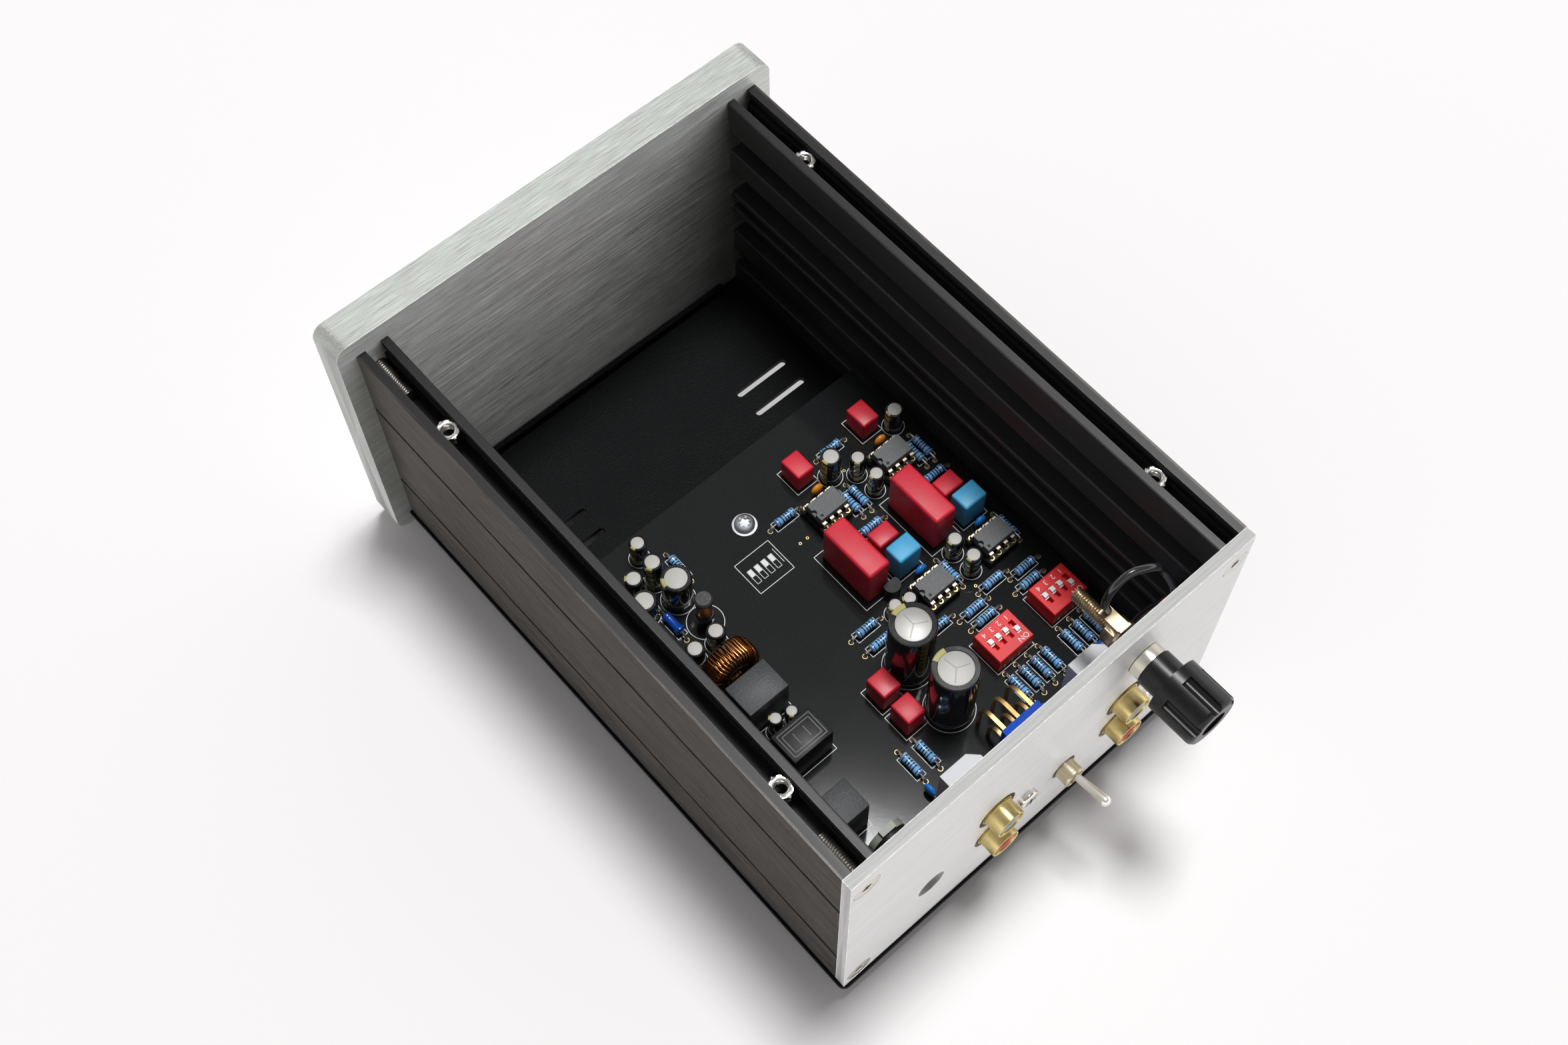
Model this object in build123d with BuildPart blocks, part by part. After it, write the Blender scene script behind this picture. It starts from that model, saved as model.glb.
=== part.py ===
import os
from math import radians, sqrt, tan

from build123d import *

# A small phono preamplifier in an aluminium case without its lid: a thick front panel,
# two slotted side profiles, a rear panel with the sockets, a steel bottom plate on rubber
# feet, and one circuit board. Millimetres, +Z up, rear panel towards +Y. The origin is
# under the middle of the part, on the surface that it stands on.

# ---------------------------------------------------------------- driving dimensions
# Side profiles
profile_length = 170.0
profile_height = 77.0
profile_depth = 9.2          # outer face to the lips on the inner side
inner_width = 105.6          # clear width between the lips of the two profiles
web_thickness = 3.3          # wall left behind the inner grooves
top_rail_height = 11.2       # band that holds the upper slot
bottom_rail_height = 6.9
rib_bands = [(14.2, 22.6), (31.7, 33.6), (38.1, 40.1), (50.1, 57.9)]
rib_round = 0.6
slot_inset = 4.8             # centre line of the slots, from the outer face
slot_width = 4.4
nut_channel_width = 5.9
nut_channel_height = 2.8
lip_thickness = 2.3
upper_screw_drop = 8.4       # panel screw below the top of the profile
lower_screw_rise = 4.1       # panel screw above the bottom of the profile
accent_width = 1.6           # narrow grooves on the outer face
accent_depth = 0.9
accent_rise = 18.2
accent_drop = 23.3

# Panels and bottom plate
front_panel_thickness = 10.0
front_panel_side_reach = 5.0
front_panel_end_reach = 5.6  # above and below the profiles
front_corner_radius = 4.0
front_edge_break = 0.4
rear_panel_thickness = 3.0
plate_thickness = 1.5
plate_proud = 0.7
plate_corner_radius = 2.0
plate_lip_width = 94.6
plate_lip_height = 3.0
plate_lip_setback = 0.6
vent_length = 17.4
vent_width = 2.0
vent_offset = 35.7
vent_rows = [30.9, 38.8]
foot_diameter = 14.0
foot_height = 7.0
foot_taper = 1.0
foot_inset_x = 14.0
foot_inset_y = 16.0

# Screws and nuts
panel_screw_radius = 2.0
panel_screw_head_radius = 3.8
panel_screw_grip = 12.0      # length of thread inside the slot
panel_socket_width = 2.5
small_screw_radius = 1.5
small_screw_head_radius = 2.8
small_screw_head_height = 1.8
plate_screw_length = 6.0
plate_screw_margin = 24.0
slot_nut_width = 5.5
slot_nut_height = 2.4
screw_clearance = 0.12
screw_head_rim = 0.1          # straight edge of a countersunk head
socket_depth = 1.2

# Circuit board
board_length = 117.5
board_thickness = 1.6
board_side_gap = 2.8
board_rear_gap = 0.5
standoff_height = 13.4
standoff_diameter = 6.0
board_corner_radius = 1.0
board_hole_radius = 1.7
board_screw_grip = 6.0       # length of thread inside the standoff
washer_radius = 3.4
washer_thickness = 0.5

# Sockets on the rear panel
signal_insets = [23.2, 65.2]  # from the left edge of the board
signal_low = 8.8             # lower socket axis above the board
signal_pitch = 14.0
signal_hole_radius = 5.75
barrel_radius = 4.2
barrel_wall = 0.6
barrel_base_radius = 4.6     # inside the panel hole
barrel_reach = 4.8           # beyond the rear panel
insert_recess = 1.2
insert_bore_radius = 1.7
housing_width = 10.8
housing_depth = 11.0
housing_height = 26.5
housing_chamfer = 2.5
lug_width = 8.9
lug_depth = 6.0
lug_height = 18.0
lug_screw_offset = 10.7
lug_screw_rise = 12.6
power_inset = 14.9           # from the right edge of the board
power_rise = 9.0
power_hole_radius = 4.15
power_body_radius = 4.5
power_body_depth = 11.6
power_bore_radius = 3.1
power_bore_depth = 9.0
power_pin_radius = 1.0
power_bracket_depth = 1.8
power_bracket_reach = 0.6

# Mute switch
toggle_inset = 41.1          # from the left edge of the board
toggle_rise = 8.3            # bushing axis above the board
toggle_hole_radius = 3.85
bushing_radius = 3.05
bushing_bore_radius = 2.3
bushing_mouth_radius = 2.65
bushing_reach = 4.0          # beyond the rear panel
bushing_flange_thickness = 0.8
keyway_width = 0.9
keyway_depth = 0.35
lever_pivot_inset = 0.5      # pivot behind the rear panel's inner face, towards +Y
lever_angle = 13.5
lever_length = 17.7
lever_neck_radius = 0.75
lever_tip_radius = 1.45
lever_ball_radius = 2.0
lever_pin_radius = 0.6
lever_pin_clearance = 0.05
switch_width = 13.4
switch_depth = 9.0
switch_height = 9.6
switch_gap = 2.0             # body front face behind the panel
switch_base_depth = 1.6
terminal_pitch = 4.7
terminal_width = 1.1
terminal_thickness = 0.6

# Ground post
post_inset = 21.3            # from the left edge of the board
post_rise = 59.2             # above the bottom of the profile
post_radius = 2.0
post_inner_reach = 18.6
ring_radius = 4.8
ring_length = 3.2
neck_radius = 5.05
neck_length = 5.7
knob_radius = 7.4
knob_length = 13.1
knob_edge = 1.5
knob_slots = 6
knob_slot_width = 2.4
knob_slot_depth = 1.5
knob_slot_start = 3.0
knob_recess_radius = 3.6
knob_recess_depth = 3.0
sleeve_radius = 3.2
sleeve_length = 9.0
sleeve_clearance = 0.05
post_nut_width = 7.0
post_nut_height = 3.4
tag_radius = 4.2
tag_thickness = 0.7
tag_tab_width = 3.4
tag_tab_length = 7.2
tag_tab_rise = 0.2           # tab above the ring
wire_radius = 1.0

# Setting switches
dip_length = 11.8
dip_width = 9.6
dip_height = 5.9
dip_pitch = 2.54
dip_slot_length = 3.8
dip_slot_width = 1.5
dip_slot_depth = 1.8
slider_length = 2.0
slider_end_gap = 0.1
slider_side_gap = 0.1
slider_knob_length = 1.3
slider_knob_rise = 0.5

# Chips and small parts
lead_radius = 0.3
resistor_pitch = 10.16
resistor_length = 6.2
resistor_radius = 1.05
resistor_end_radius = 1.25
resistor_end_length = 1.5
resistor_end_edge = 0.3
resistor_rise = 1.45         # axis above the board
fuse_radius = 1.2
fuse_end_radius = 1.5
fuse_rise = 1.75
chip_length = 9.4
chip_width = 6.2
chip_thickness = 3.3
chip_top = 6.8
chip_pitch = 2.54
chip_row_offset = 3.81
chip_socket_length = 10.1
chip_socket_width = 9.6
chip_socket_height = 3.0
chip_socket_window = 5.2

# Sizes of the upright parts on the board: across, ahead, height
large_film_size = (7.0, 17.8, 14.8)
middle_film_size = (6.8, 5.3, 7.4)
small_film_size = (5.6, 7.1, 7.2)
rear_film_size = (5.9, 6.7, 8.3)
blue_film_size = (7.5, 5.8, 10.3)
front_choke_size = (12.4, 9.6, 13.4)
rear_choke_size = (12.4, 9.2, 13.9)
converter_size = (12.4, 9.1, 11.1)
large_film_edge = 1.3        # rounding of standing and upper edges
film_edge = 0.6
choke_edge = 0.6
converter_edge = 0.3
reservoir_diameter = 12.3
reservoir_height = 25.0
can_groove_rise = 2.6        # pressed groove near the foot of a large can
can_groove_width = 1.6
can_groove_depth = 0.5
bead_radius = 1.9
bead_thickness = 2.0
bead_rise = 2.6
small_lead_pitch = 2.54
transistor_radius = 2.3
transistor_height = 4.5
drum_foot_rise = 4.2         # above the board
drum_top_rise = 14.0
drum_flange = 1.5
drum_radius = 2.4
drum_core_radius = 1.3
drum_winding_radius = 2.1
toroid_radius = 7.5
toroid_bore = 2.3
toroid_width = 7.6
toroid_corner = 1.8
winding_depth = 1.0
terminal_block_size = (10.0, 8.0, 10.0)

# Places on the board: distance from its left edge, or from its right edge where negative,
# and distance ahead of the rear panel
board_holes = [(53.0, 101.0), (3.6, 4.6), (-3.6, 4.6)]
large_film_places = [(17.6, 72.0), (40.7, 71.9)]
middle_film_places = [(7.6, 72.6), (30.4, 72.7)]
small_film_places = [(10.0, 102.8), (33.2, 102.6)]
rear_film_places = [(58.5, 42.1), (58.6, 33.2)]
blue_film_places = [(7.1, 65.4), (30.2, 65.4)]
reservoir_places = [(48.2, 43.7), (48.4, 28.5)]
bead_places = [(10.3, 95.4), (32.7, 95.4), (7.3, 60.3), (28.5, 60.3)]
turned_bead_place = (67.5, 15.4)
transistor_place = (37.5, 61.5)
chip_places = [(11.8, 89.2), (35.0, 89.1), (8.9, 54.2), (29.7, 54.1)]
dip_places = [(7.3, 32.2), (26.7, 32.0)]
fuse_place = (-14.7, 91.1)
front_choke_place = (-16.0, 60.2)
rear_choke_place = (-9.9, 24.3)
converter_place = (-16.6, 44.4)
drum_place = (-21.5, 86.7)
toroid_place = (-16.5, 71.0)
terminal_block_place = (12.0, 10.6)
resistors_across = [
    (7.2, 43.7), (9.1, 39.9), (16.2, 46.2), (25.2, 43.7), (24.8, 40.0), (49.6, 57.9),
    (49.6, 52.7), (35.4, 46.2), (21.4, 102.8), (44.1, 95.2), (6.0, 78.9), (29.0, 78.5),
]
resistors_along = [
    (5.0, 20.7), (8.8, 20.7), (12.9, 20.7), (20.1, 20.7), (23.9, 20.7), (27.8, 20.7),
    (31.7, 20.7), (61.1, 23.4), (66.1, 23.4), (2.5, 87.3), (5.4, 87.3), (25.3, 87.3),
    (28.2, 87.3), (2.3, 55.3), (22.7, 55.4), (73.8, 102.9),
]
# Small electrolytic capacitors: diameter, height, and place as above
small_cans = [
    (5.0, 8.8, 3.6, 97.4), (5.6, 11.0, 26.6, 97.0), (4.4, 9.5, 20.9, 92.8),
    (4.4, 9.3, 20.4, 86.2), (4.6, 8.5, 18.0, 59.1), (4.6, 9.0, 17.8, 52.5),
    (4.2, 6.0, 37.1, 55.4), (4.2, 6.0, 41.2, 56.4), (4.6, 9.0, -20.5, 111.7),
    (5.2, 12.0, -19.1, 103.8), (5.0, 9.0, -13.4, 104.6), (8.0, 12.4, -20.5, 96.2),
    (6.5, 8.5, -11.6, 98.2), (5.0, 8.0, -19.8, 80.3), (5.0, 8.0, -12.8, 80.0),
    (3.8, 9.4, -15.1, 52.4), (3.6, 9.2, -19.4, 51.3),
]

# ---------------------------------------------------------------- levels and planes
case_width = inner_width + 2 * profile_depth
case_floor = foot_height + plate_thickness
case_top = case_floor + profile_height
board_bottom = case_floor + standoff_height
board_top = board_bottom + board_thickness
board_width = inner_width - 2 * board_side_gap
board_left = -board_width / 2
board_right = board_width / 2
signal_columns = [board_left + inset for inset in signal_insets]
power_column = board_right - power_inset
toggle_column = board_left + toggle_inset
post_column = board_left + post_inset
post_reach = rear_panel_thickness + ring_length + neck_length + knob_length
overall_depth = front_panel_thickness + profile_length + post_reach
front_y = front_panel_thickness - overall_depth / 2
rear_y = front_y + profile_length
rear_face_y = rear_y + rear_panel_thickness
slot_x = case_width / 2 - slot_inset
upper_screw_z = case_top - upper_screw_drop
lower_screw_z = case_floor + lower_screw_rise
signal_low_z = board_top + signal_low
signal_high_z = signal_low_z + signal_pitch
power_z = board_top + power_rise
toggle_z = board_top + toggle_rise
post_z = case_floor + post_rise
board_rear_y = rear_y - board_rear_gap


def ahead(distance):
    """Y of a place this far in front of the rear panel's inner face."""
    return rear_y - distance


def across(inset):
    """X of a place this far in from the board's left edge, or from its right edge if negative."""
    return board_left + inset if inset > 0 else board_right + inset


def save(piece, name):
    piece.part.label = name
    export_step(piece.part, f"parts/{name}.step")


os.makedirs("parts", exist_ok=True)


# ---------------------------------------------------------------- side profiles
def profile_section(side):
    """Section of one side profile, at its rear end; side is -1 or 1."""
    outer = side * case_width / 2
    inner = side * inner_width / 2
    web = outer - side * web_thickness
    slot = side * slot_x
    bands = [(0.0, bottom_rail_height)] + rib_bands
    bands.append((profile_height - top_rail_height, profile_height))
    with BuildSketch(Plane.XZ.offset(-rear_y)) as section:
        with Locations(((outer + inner) / 2, case_floor + profile_height / 2)):
            Rectangle(profile_depth, profile_height)
        for (_, low), (high, _) in zip(bands, bands[1:]):
            with Locations(((web + inner) / 2, case_floor + (low + high) / 2)):
                Rectangle(abs(web - inner), high - low, mode=Mode.SUBTRACT)
        lips = [v for v in section.vertices() if abs(v.X - inner) < 0.01]
        fillet(lips, rib_round)
        # Upper slot: open at the top, with a wider channel for the lid's nuts
        with Locations((slot, (upper_screw_z + case_top) / 2)):
            Rectangle(slot_width, case_top - upper_screw_z, mode=Mode.SUBTRACT)
        with Locations((slot, upper_screw_z), (slot, lower_screw_z)):
            Circle(slot_width / 2, mode=Mode.SUBTRACT)
        with Locations((slot, case_top - lip_thickness - nut_channel_height / 2)):
            Rectangle(nut_channel_width, nut_channel_height, mode=Mode.SUBTRACT)
        # Lower slot: open at the bottom
        with Locations((slot, (case_floor + lower_screw_z) / 2)):
            Rectangle(slot_width, lower_screw_rise, mode=Mode.SUBTRACT)
        grooves = [case_floor + accent_rise, case_top - accent_drop]
        with Locations(*[(outer - side * accent_depth / 2, z) for z in grooves]):
            Rectangle(accent_depth, accent_width, mode=Mode.SUBTRACT)
    return section.sketch


for side, name in ((-1, "side_profile_left"), (1, "side_profile_right")):
    profile_face = profile_section(side)
    with BuildPart() as side_profile:
        extrude(profile_face, amount=profile_length)
    save(side_profile, name)


# ---------------------------------------------------------------- panels
def corner_places():
    """X and Z of the four screws that hold a panel to the profiles."""
    return [(x, z) for x in (-slot_x, slot_x) for z in (lower_screw_z, upper_screw_z)]


front_width = case_width + 2 * front_panel_side_reach
front_height = profile_height + 2 * front_panel_end_reach
front_face_y = front_y - front_panel_thickness
case_middle_z = case_floor + profile_height / 2
panel_hole_radius = panel_screw_radius + screw_clearance
panel_sink_radius = panel_screw_head_radius + screw_head_rim + screw_clearance

with BuildPart() as front_panel:
    with BuildSketch(Plane.XZ.offset(-front_y)):
        with Locations((0, case_middle_z)):
            RectangleRounded(front_width, front_height, front_corner_radius)
    extrude(amount=front_panel_thickness)
    chamfer(front_panel.faces().sort_by(Axis.Y)[0].edges(), front_edge_break)
    with Locations(*[Location((x, front_face_y, z), (90, 0, 0)) for x, z in corner_places()]):
        CounterSinkHole(panel_hole_radius, panel_sink_radius, front_panel_thickness, 90)
save(front_panel, "front_panel")

lug_screw_z = board_top + lug_screw_rise
lug_screw_columns = [x - lug_screw_offset for x in signal_columns]

with BuildPart() as rear_panel:
    with BuildSketch(Plane.XZ.offset(-rear_face_y)):
        with Locations((0, case_middle_z)):
            Rectangle(case_width, profile_height)
        with Locations(*[(x, z) for x in signal_columns for z in (signal_low_z, signal_high_z)]):
            Circle(signal_hole_radius, mode=Mode.SUBTRACT)
        with Locations((power_column, power_z)):
            Circle(power_hole_radius, mode=Mode.SUBTRACT)
        with Locations((toggle_column, toggle_z)):
            Circle(toggle_hole_radius, mode=Mode.SUBTRACT)
        with Locations((post_column, post_z)):
            Circle(post_radius + screw_clearance, mode=Mode.SUBTRACT)
        with Locations(*[(x, lug_screw_z) for x in lug_screw_columns]):
            Circle(small_screw_radius + screw_clearance, mode=Mode.SUBTRACT)
    extrude(amount=rear_panel_thickness)
    with Locations(*[Location((x, rear_face_y, z), (-90, 0, 0)) for x, z in corner_places()]):
        CounterSinkHole(panel_hole_radius, panel_sink_radius, rear_panel_thickness, 90)
save(rear_panel, "rear_panel")

# ---------------------------------------------------------------- bottom plate and feet
plate_width = case_width + 2 * plate_proud
plate_front_y = front_y
plate_rear_y = rear_face_y + plate_proud
plate_middle_y = (plate_front_y + plate_rear_y) / 2
plate_screw_places = [
    (x, y)
    for x in (-slot_x, slot_x)
    for y in (front_y + plate_screw_margin, ahead(plate_screw_margin))
]

with BuildPart() as bottom_plate:
    with BuildSketch(Plane.XY.offset(foot_height)) as plate_outline:
        with Locations((0, plate_middle_y)):
            Rectangle(plate_width, plate_rear_y - plate_front_y)
        fillet(plate_outline.vertices().group_by(Axis.Y)[-1], plate_corner_radius)
        with Locations(*[(s * vent_offset, front_y + y) for s in (-1, 1) for y in vent_rows]):
            SlotOverall(vent_length, vent_width, mode=Mode.SUBTRACT)
    extrude(amount=plate_thickness)
    # Upturned lip behind the front panel
    with BuildSketch(Plane.XZ.offset(-(front_y + plate_lip_setback + plate_thickness))) as lip:
        with Locations((0, case_floor + plate_lip_height / 2)):
            Rectangle(plate_lip_width, plate_lip_height)
        fillet(lip.vertices().group_by(Axis.Z)[-1], plate_lip_height / 2)
    extrude(amount=plate_thickness)
    with Locations(*[Location((x, y, foot_height), (180, 0, 0)) for x, y in plate_screw_places]):
        CounterSinkHole(
            small_screw_radius + screw_clearance,
            small_screw_head_radius + screw_head_rim + screw_clearance,
            plate_thickness,
            90,
        )
save(bottom_plate, "bottom_plate")

foot_places = [
    (x, y)
    for x in (foot_inset_x - case_width / 2, case_width / 2 - foot_inset_x)
    for y in (front_y + foot_inset_y, rear_y - foot_inset_y)
]
with BuildPart() as rubber_feet:
    with Locations(*[(x, y, foot_height / 2) for x, y in foot_places]):
        Cone(foot_diameter / 2 - foot_taper, foot_diameter / 2, foot_height)
save(rubber_feet, "rubber_feet")


# ---------------------------------------------------------------- screws and nuts
def flat_screw(radius, head_radius, length, socket_width):
    """Countersunk hexagon socket screw, head face at the origin, shank along -Z."""
    with BuildPart() as screw:
        with BuildSketch(Plane.XZ):
            with BuildLine():
                Polyline(
                    (0, 0),
                    (head_radius, 0),
                    (head_radius, -screw_head_rim),
                    (radius, -screw_head_rim - head_radius + radius),
                    (radius, -length),
                    (0, -length),
                    close=True,
                )
            make_face()
        revolve(axis=Axis.Z)
        with BuildSketch(Plane.XY):
            RegularPolygon(socket_width / 2, 6, major_radius=False)
        extrude(amount=-socket_depth, mode=Mode.SUBTRACT)
    return screw.part


def pan_screw(radius, head_radius, head_height, length):
    """Pan head screw seated at the origin, head along +Z and shank along -Z."""
    with BuildPart() as screw:
        Cylinder(head_radius, head_height, align=(Align.CENTER, Align.CENTER, Align.MIN))
        fillet(screw.edges().sort_by(Axis.Z)[-1], head_height * 0.45)
        Cylinder(radius, length, align=(Align.CENTER, Align.CENTER, Align.MAX))
        with Locations((0, 0, head_height)):
            Box(head_radius, 0.6, head_height, mode=Mode.SUBTRACT)
            Box(0.6, head_radius, head_height, mode=Mode.SUBTRACT)
    return screw.part


def hex_nut(width, height, bore_radius):
    """Hexagon nut standing on the XY plane."""
    with BuildPart() as nut:
        with BuildSketch():
            RegularPolygon(width / 2, 6, major_radius=False)
            Circle(bore_radius, mode=Mode.SUBTRACT)
        extrude(amount=height)
    return nut.part


front_screw = flat_screw(
    panel_screw_radius,
    panel_screw_head_radius,
    front_panel_thickness + panel_screw_grip,
    panel_socket_width,
)
rear_screw = flat_screw(
    panel_screw_radius,
    panel_screw_head_radius,
    rear_panel_thickness + panel_screw_grip,
    panel_socket_width,
)
with BuildPart() as front_panel_screws:
    with Locations(*[Location((x, front_face_y, z), (90, 0, 0)) for x, z in corner_places()]):
        add(front_screw)
save(front_panel_screws, "front_panel_screws")

with BuildPart() as rear_panel_screws:
    with Locations(*[Location((x, rear_face_y, z), (-90, 0, 0)) for x, z in corner_places()]):
        add(rear_screw)
save(rear_panel_screws, "rear_panel_screws")

plate_screw = flat_screw(small_screw_radius, small_screw_head_radius, plate_screw_length, 2.0)
with BuildPart() as plate_screws:
    with Locations(*[Location((x, y, foot_height), (180, 0, 0)) for x, y in plate_screw_places]):
        add(plate_screw)
save(plate_screws, "plate_screws")

# Nuts for the lid's screws, loose in the upper slots
slot_nut = hex_nut(slot_nut_width, slot_nut_height, small_screw_radius)
slot_nut_z = case_top - lip_thickness - nut_channel_height
slot_nut_places = {
    "slot_nut_left_front": (-slot_x, 24.7),
    "slot_nut_left_rear": (-slot_x, 146.4),
    "slot_nut_right_front": (slot_x, 28.5),
    "slot_nut_right_rear": (slot_x, 145.6),
}
for name, (x, y) in slot_nut_places.items():
    with BuildPart() as nut_piece:
        with Locations(Location((x, front_y + y, slot_nut_z), (0, 0, 30))):
            add(slot_nut)
    save(nut_piece, name)

# ---------------------------------------------------------------- circuit board
board_screw_places = [(across(inset), ahead(distance)) for inset, distance in board_holes]

with BuildPart() as circuit_board:
    with BuildSketch(Plane.XY.offset(board_bottom)):
        with Locations((0, board_rear_y - board_length / 2)):
            RectangleRounded(board_width, board_length, board_corner_radius)
        with Locations(*board_screw_places):
            Circle(board_hole_radius, mode=Mode.SUBTRACT)
    extrude(amount=board_thickness)
save(circuit_board, "circuit_board")

with BuildPart() as board_standoffs:
    with BuildSketch(Plane.XY.offset(case_floor)):
        with Locations(*board_screw_places):
            RegularPolygon(standoff_diameter / 2, 6, major_radius=False)
            Circle(small_screw_radius + screw_clearance, mode=Mode.SUBTRACT)
    extrude(amount=standoff_height)
save(board_standoffs, "board_standoffs")

board_screw = pan_screw(
    small_screw_radius, small_screw_head_radius, small_screw_head_height, board_thickness + board_screw_grip
)
with BuildPart() as board_screws:
    with Locations(*[(x, y, board_top + washer_thickness) for x, y in board_screw_places]):
        add(board_screw)
    with BuildSketch(Plane.XY.offset(board_top)):
        with Locations(*board_screw_places):
            Circle(washer_radius)
            Circle(small_screw_radius + screw_clearance, mode=Mode.SUBTRACT)
    extrude(amount=washer_thickness)
save(board_screws, "board_screws")


# ---------------------------------------------------------------- small parts on the board
def block(size, edge):
    """Upright box on the XY plane with rounded upper and standing edges."""
    with BuildPart() as body:
        Box(*size, align=(Align.CENTER, Align.CENTER, Align.MIN))
        fillet(body.edges().filter_by(Axis.Z), edge)
        fillet(body.faces().sort_by(Axis.Z)[-1].edges(), 0.8 * edge)
    return body.part


def can(diameter, height, grooved=False):
    """Electrolytic capacitor: sleeve turned over the rim of a flat-topped can."""
    radius = diameter / 2
    rim = 0.1 * diameter
    groove = []
    if grooved:
        waist = radius - can_groove_depth
        groove = [
            (radius, can_groove_rise - can_groove_width / 2),
            (waist, can_groove_rise),
            (radius, can_groove_rise + can_groove_width / 2),
        ]
    with BuildPart() as body:
        with BuildSketch(Plane.XZ):
            with BuildLine():
                Polyline(
                    (0, 0), (radius, 0), *groove, (radius, height - rim / 2),
                    (radius - rim / 2, height), (radius - rim, height),
                    (radius - rim, height - 0.2), (0, height - 0.2),
                    close=True,
                )
            make_face()
        revolve(axis=Axis.Z)
    return body.part


def group(name, shapes):
    """One node of separate solids: (solid, place, turn)."""
    with BuildPart() as pieces:
        for solid, (inset, distance), turn in shapes:
            with Locations(Location((across(inset), ahead(distance), board_top), (0, 0, turn))):
                add(solid)
    save(pieces, name)


def each(solid, places, turn=0):
    """The same solid for each of the places."""
    return [(solid, place, turn) for place in places]


group("film_capacitors_large", each(block(large_film_size, large_film_edge), large_film_places))
group(
    "film_capacitors_red",
    each(block(small_film_size, film_edge), small_film_places)
    + each(block(middle_film_size, film_edge), middle_film_places)
    + each(block(rear_film_size, film_edge), rear_film_places),
)
group("film_capacitors_blue", each(block(blue_film_size, film_edge), blue_film_places))
reservoir = can(reservoir_diameter, reservoir_height, grooved=True)
group("reservoir_capacitors", each(reservoir, reservoir_places))
group(
    "electrolytic_capacitors",
    [(can(diameter, height), (inset, distance), 0) for diameter, height, inset, distance in small_cans],
)


def resistor(radius, end_radius, rise):
    """Axial resistor lying along X, with its leads bent down to the board."""
    half = resistor_length / 2
    shoulder = half - resistor_end_length
    reach = resistor_pitch / 2
    with BuildPart() as body:
        with BuildSketch(Plane.XZ):
            with BuildLine():
                Polyline(
                    (-half, rise), (-half, rise + radius), (-half + resistor_end_edge, rise + end_radius),
                    (-shoulder, rise + end_radius), (-shoulder, rise + radius),
                    (shoulder, rise + radius), (shoulder, rise + end_radius),
                    (half - resistor_end_edge, rise + end_radius), (half, rise + radius), (half, rise),
                    close=True,
                )
            make_face()
        revolve(axis=Axis((0, 0, rise), (1, 0, 0)))
        for end in (-1, 1):
            with Locations((end * (reach + half) / 2, 0, rise)):
                Box(reach - half + 2 * lead_radius, 2 * lead_radius, 2 * lead_radius)
            with Locations((end * reach, 0, rise / 2)):
                Box(2 * lead_radius, 2 * lead_radius, rise)
    return body.part


plain_resistor = resistor(resistor_radius, resistor_end_radius, resistor_rise)
fuse_resistor = resistor(fuse_radius, fuse_end_radius, fuse_rise)
group(
    "resistors",
    each(plain_resistor, resistors_across)
    + each(plain_resistor, resistors_along, 90)
    + each(fuse_resistor, [fuse_place], 90),
)


# Dipped ceramic capacitor on two leads, its flat side facing Y
with BuildPart() as bead:
    with Locations(Location((0, 0, bead_rise), (90, 0, 0))):
        Cylinder(bead_radius, bead_thickness)
    chamfer(bead.edges(), bead_thickness * 0.3)
    with Locations((-small_lead_pitch / 2, 0, bead_rise / 2), (small_lead_pitch / 2, 0, bead_rise / 2)):
        Box(2 * lead_radius, 2 * lead_radius, bead_rise)
group("ceramic_capacitors", each(bead.part, bead_places) + each(bead.part, [turned_bead_place], 90))

with BuildPart() as transistor:
    with BuildSketch(Plane.XY.offset(board_top)):
        with Locations((across(transistor_place[0]), ahead(transistor_place[1]))):
            Circle(transistor_radius)
            with Locations((0, -transistor_radius)):
                Rectangle(2 * transistor_radius, transistor_radius - 0.1, mode=Mode.SUBTRACT)
    extrude(amount=transistor_height)
save(transistor, "transistor")

# Chips in turned-pin sockets; pin 1 end towards +X
with BuildPart() as chip:
    with Locations((0, 0, chip_top)):
        Box(chip_length, chip_width, chip_thickness, align=(Align.CENTER, Align.CENTER, Align.MAX))
    chamfer(chip.faces().sort_by(Axis.Z)[-1].edges(), 0.25)
    with Locations((chip_length / 2, 0, chip_top)):
        Cylinder(0.8, 1.0, mode=Mode.SUBTRACT)
    leg_rise = chip_top - chip_thickness / 2 - chip_socket_height
    with Locations((0, 0, chip_socket_height + leg_rise / 2)):
        with GridLocations(chip_pitch, 2 * chip_row_offset, 4, 2):
            Box(0.9, 0.3, leg_rise)
    with Locations((0, 0, chip_socket_height + leg_rise - 0.15)):
        with GridLocations(chip_pitch, 2 * chip_row_offset - 0.7, 4, 2):
            Box(0.9, 1.0, 0.3)

with BuildPart() as chip_socket:
    with BuildSketch():
        Rectangle(chip_socket_length, chip_socket_width)
        Rectangle(chip_socket_length - 4.0, chip_socket_window, mode=Mode.SUBTRACT)
        with Locations((chip_socket_length / 2, 0)):
            Circle(0.9, mode=Mode.SUBTRACT)
    extrude(amount=chip_socket_height)

group("chips", each(chip.part, chip_places))
group("chip_sockets", each(chip_socket.part, chip_places))

# Setting switches: a red body with four open slots and one sliding actuator in each
dip_columns = [(n - 1.5) * dip_pitch for n in range(4)]
with BuildPart() as dip_body:
    Box(dip_length, dip_width, dip_height, align=(Align.CENTER, Align.CENTER, Align.MIN))
    chamfer(dip_body.faces().sort_by(Axis.Z)[-1].edges(), 0.2)
    with Locations(*[(x, 0, dip_height) for x in dip_columns]):
        Box(dip_slot_width, dip_slot_length, 2 * dip_slot_depth, mode=Mode.SUBTRACT)
group("dip_switch_bodies", each(dip_body.part, dip_places))

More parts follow.
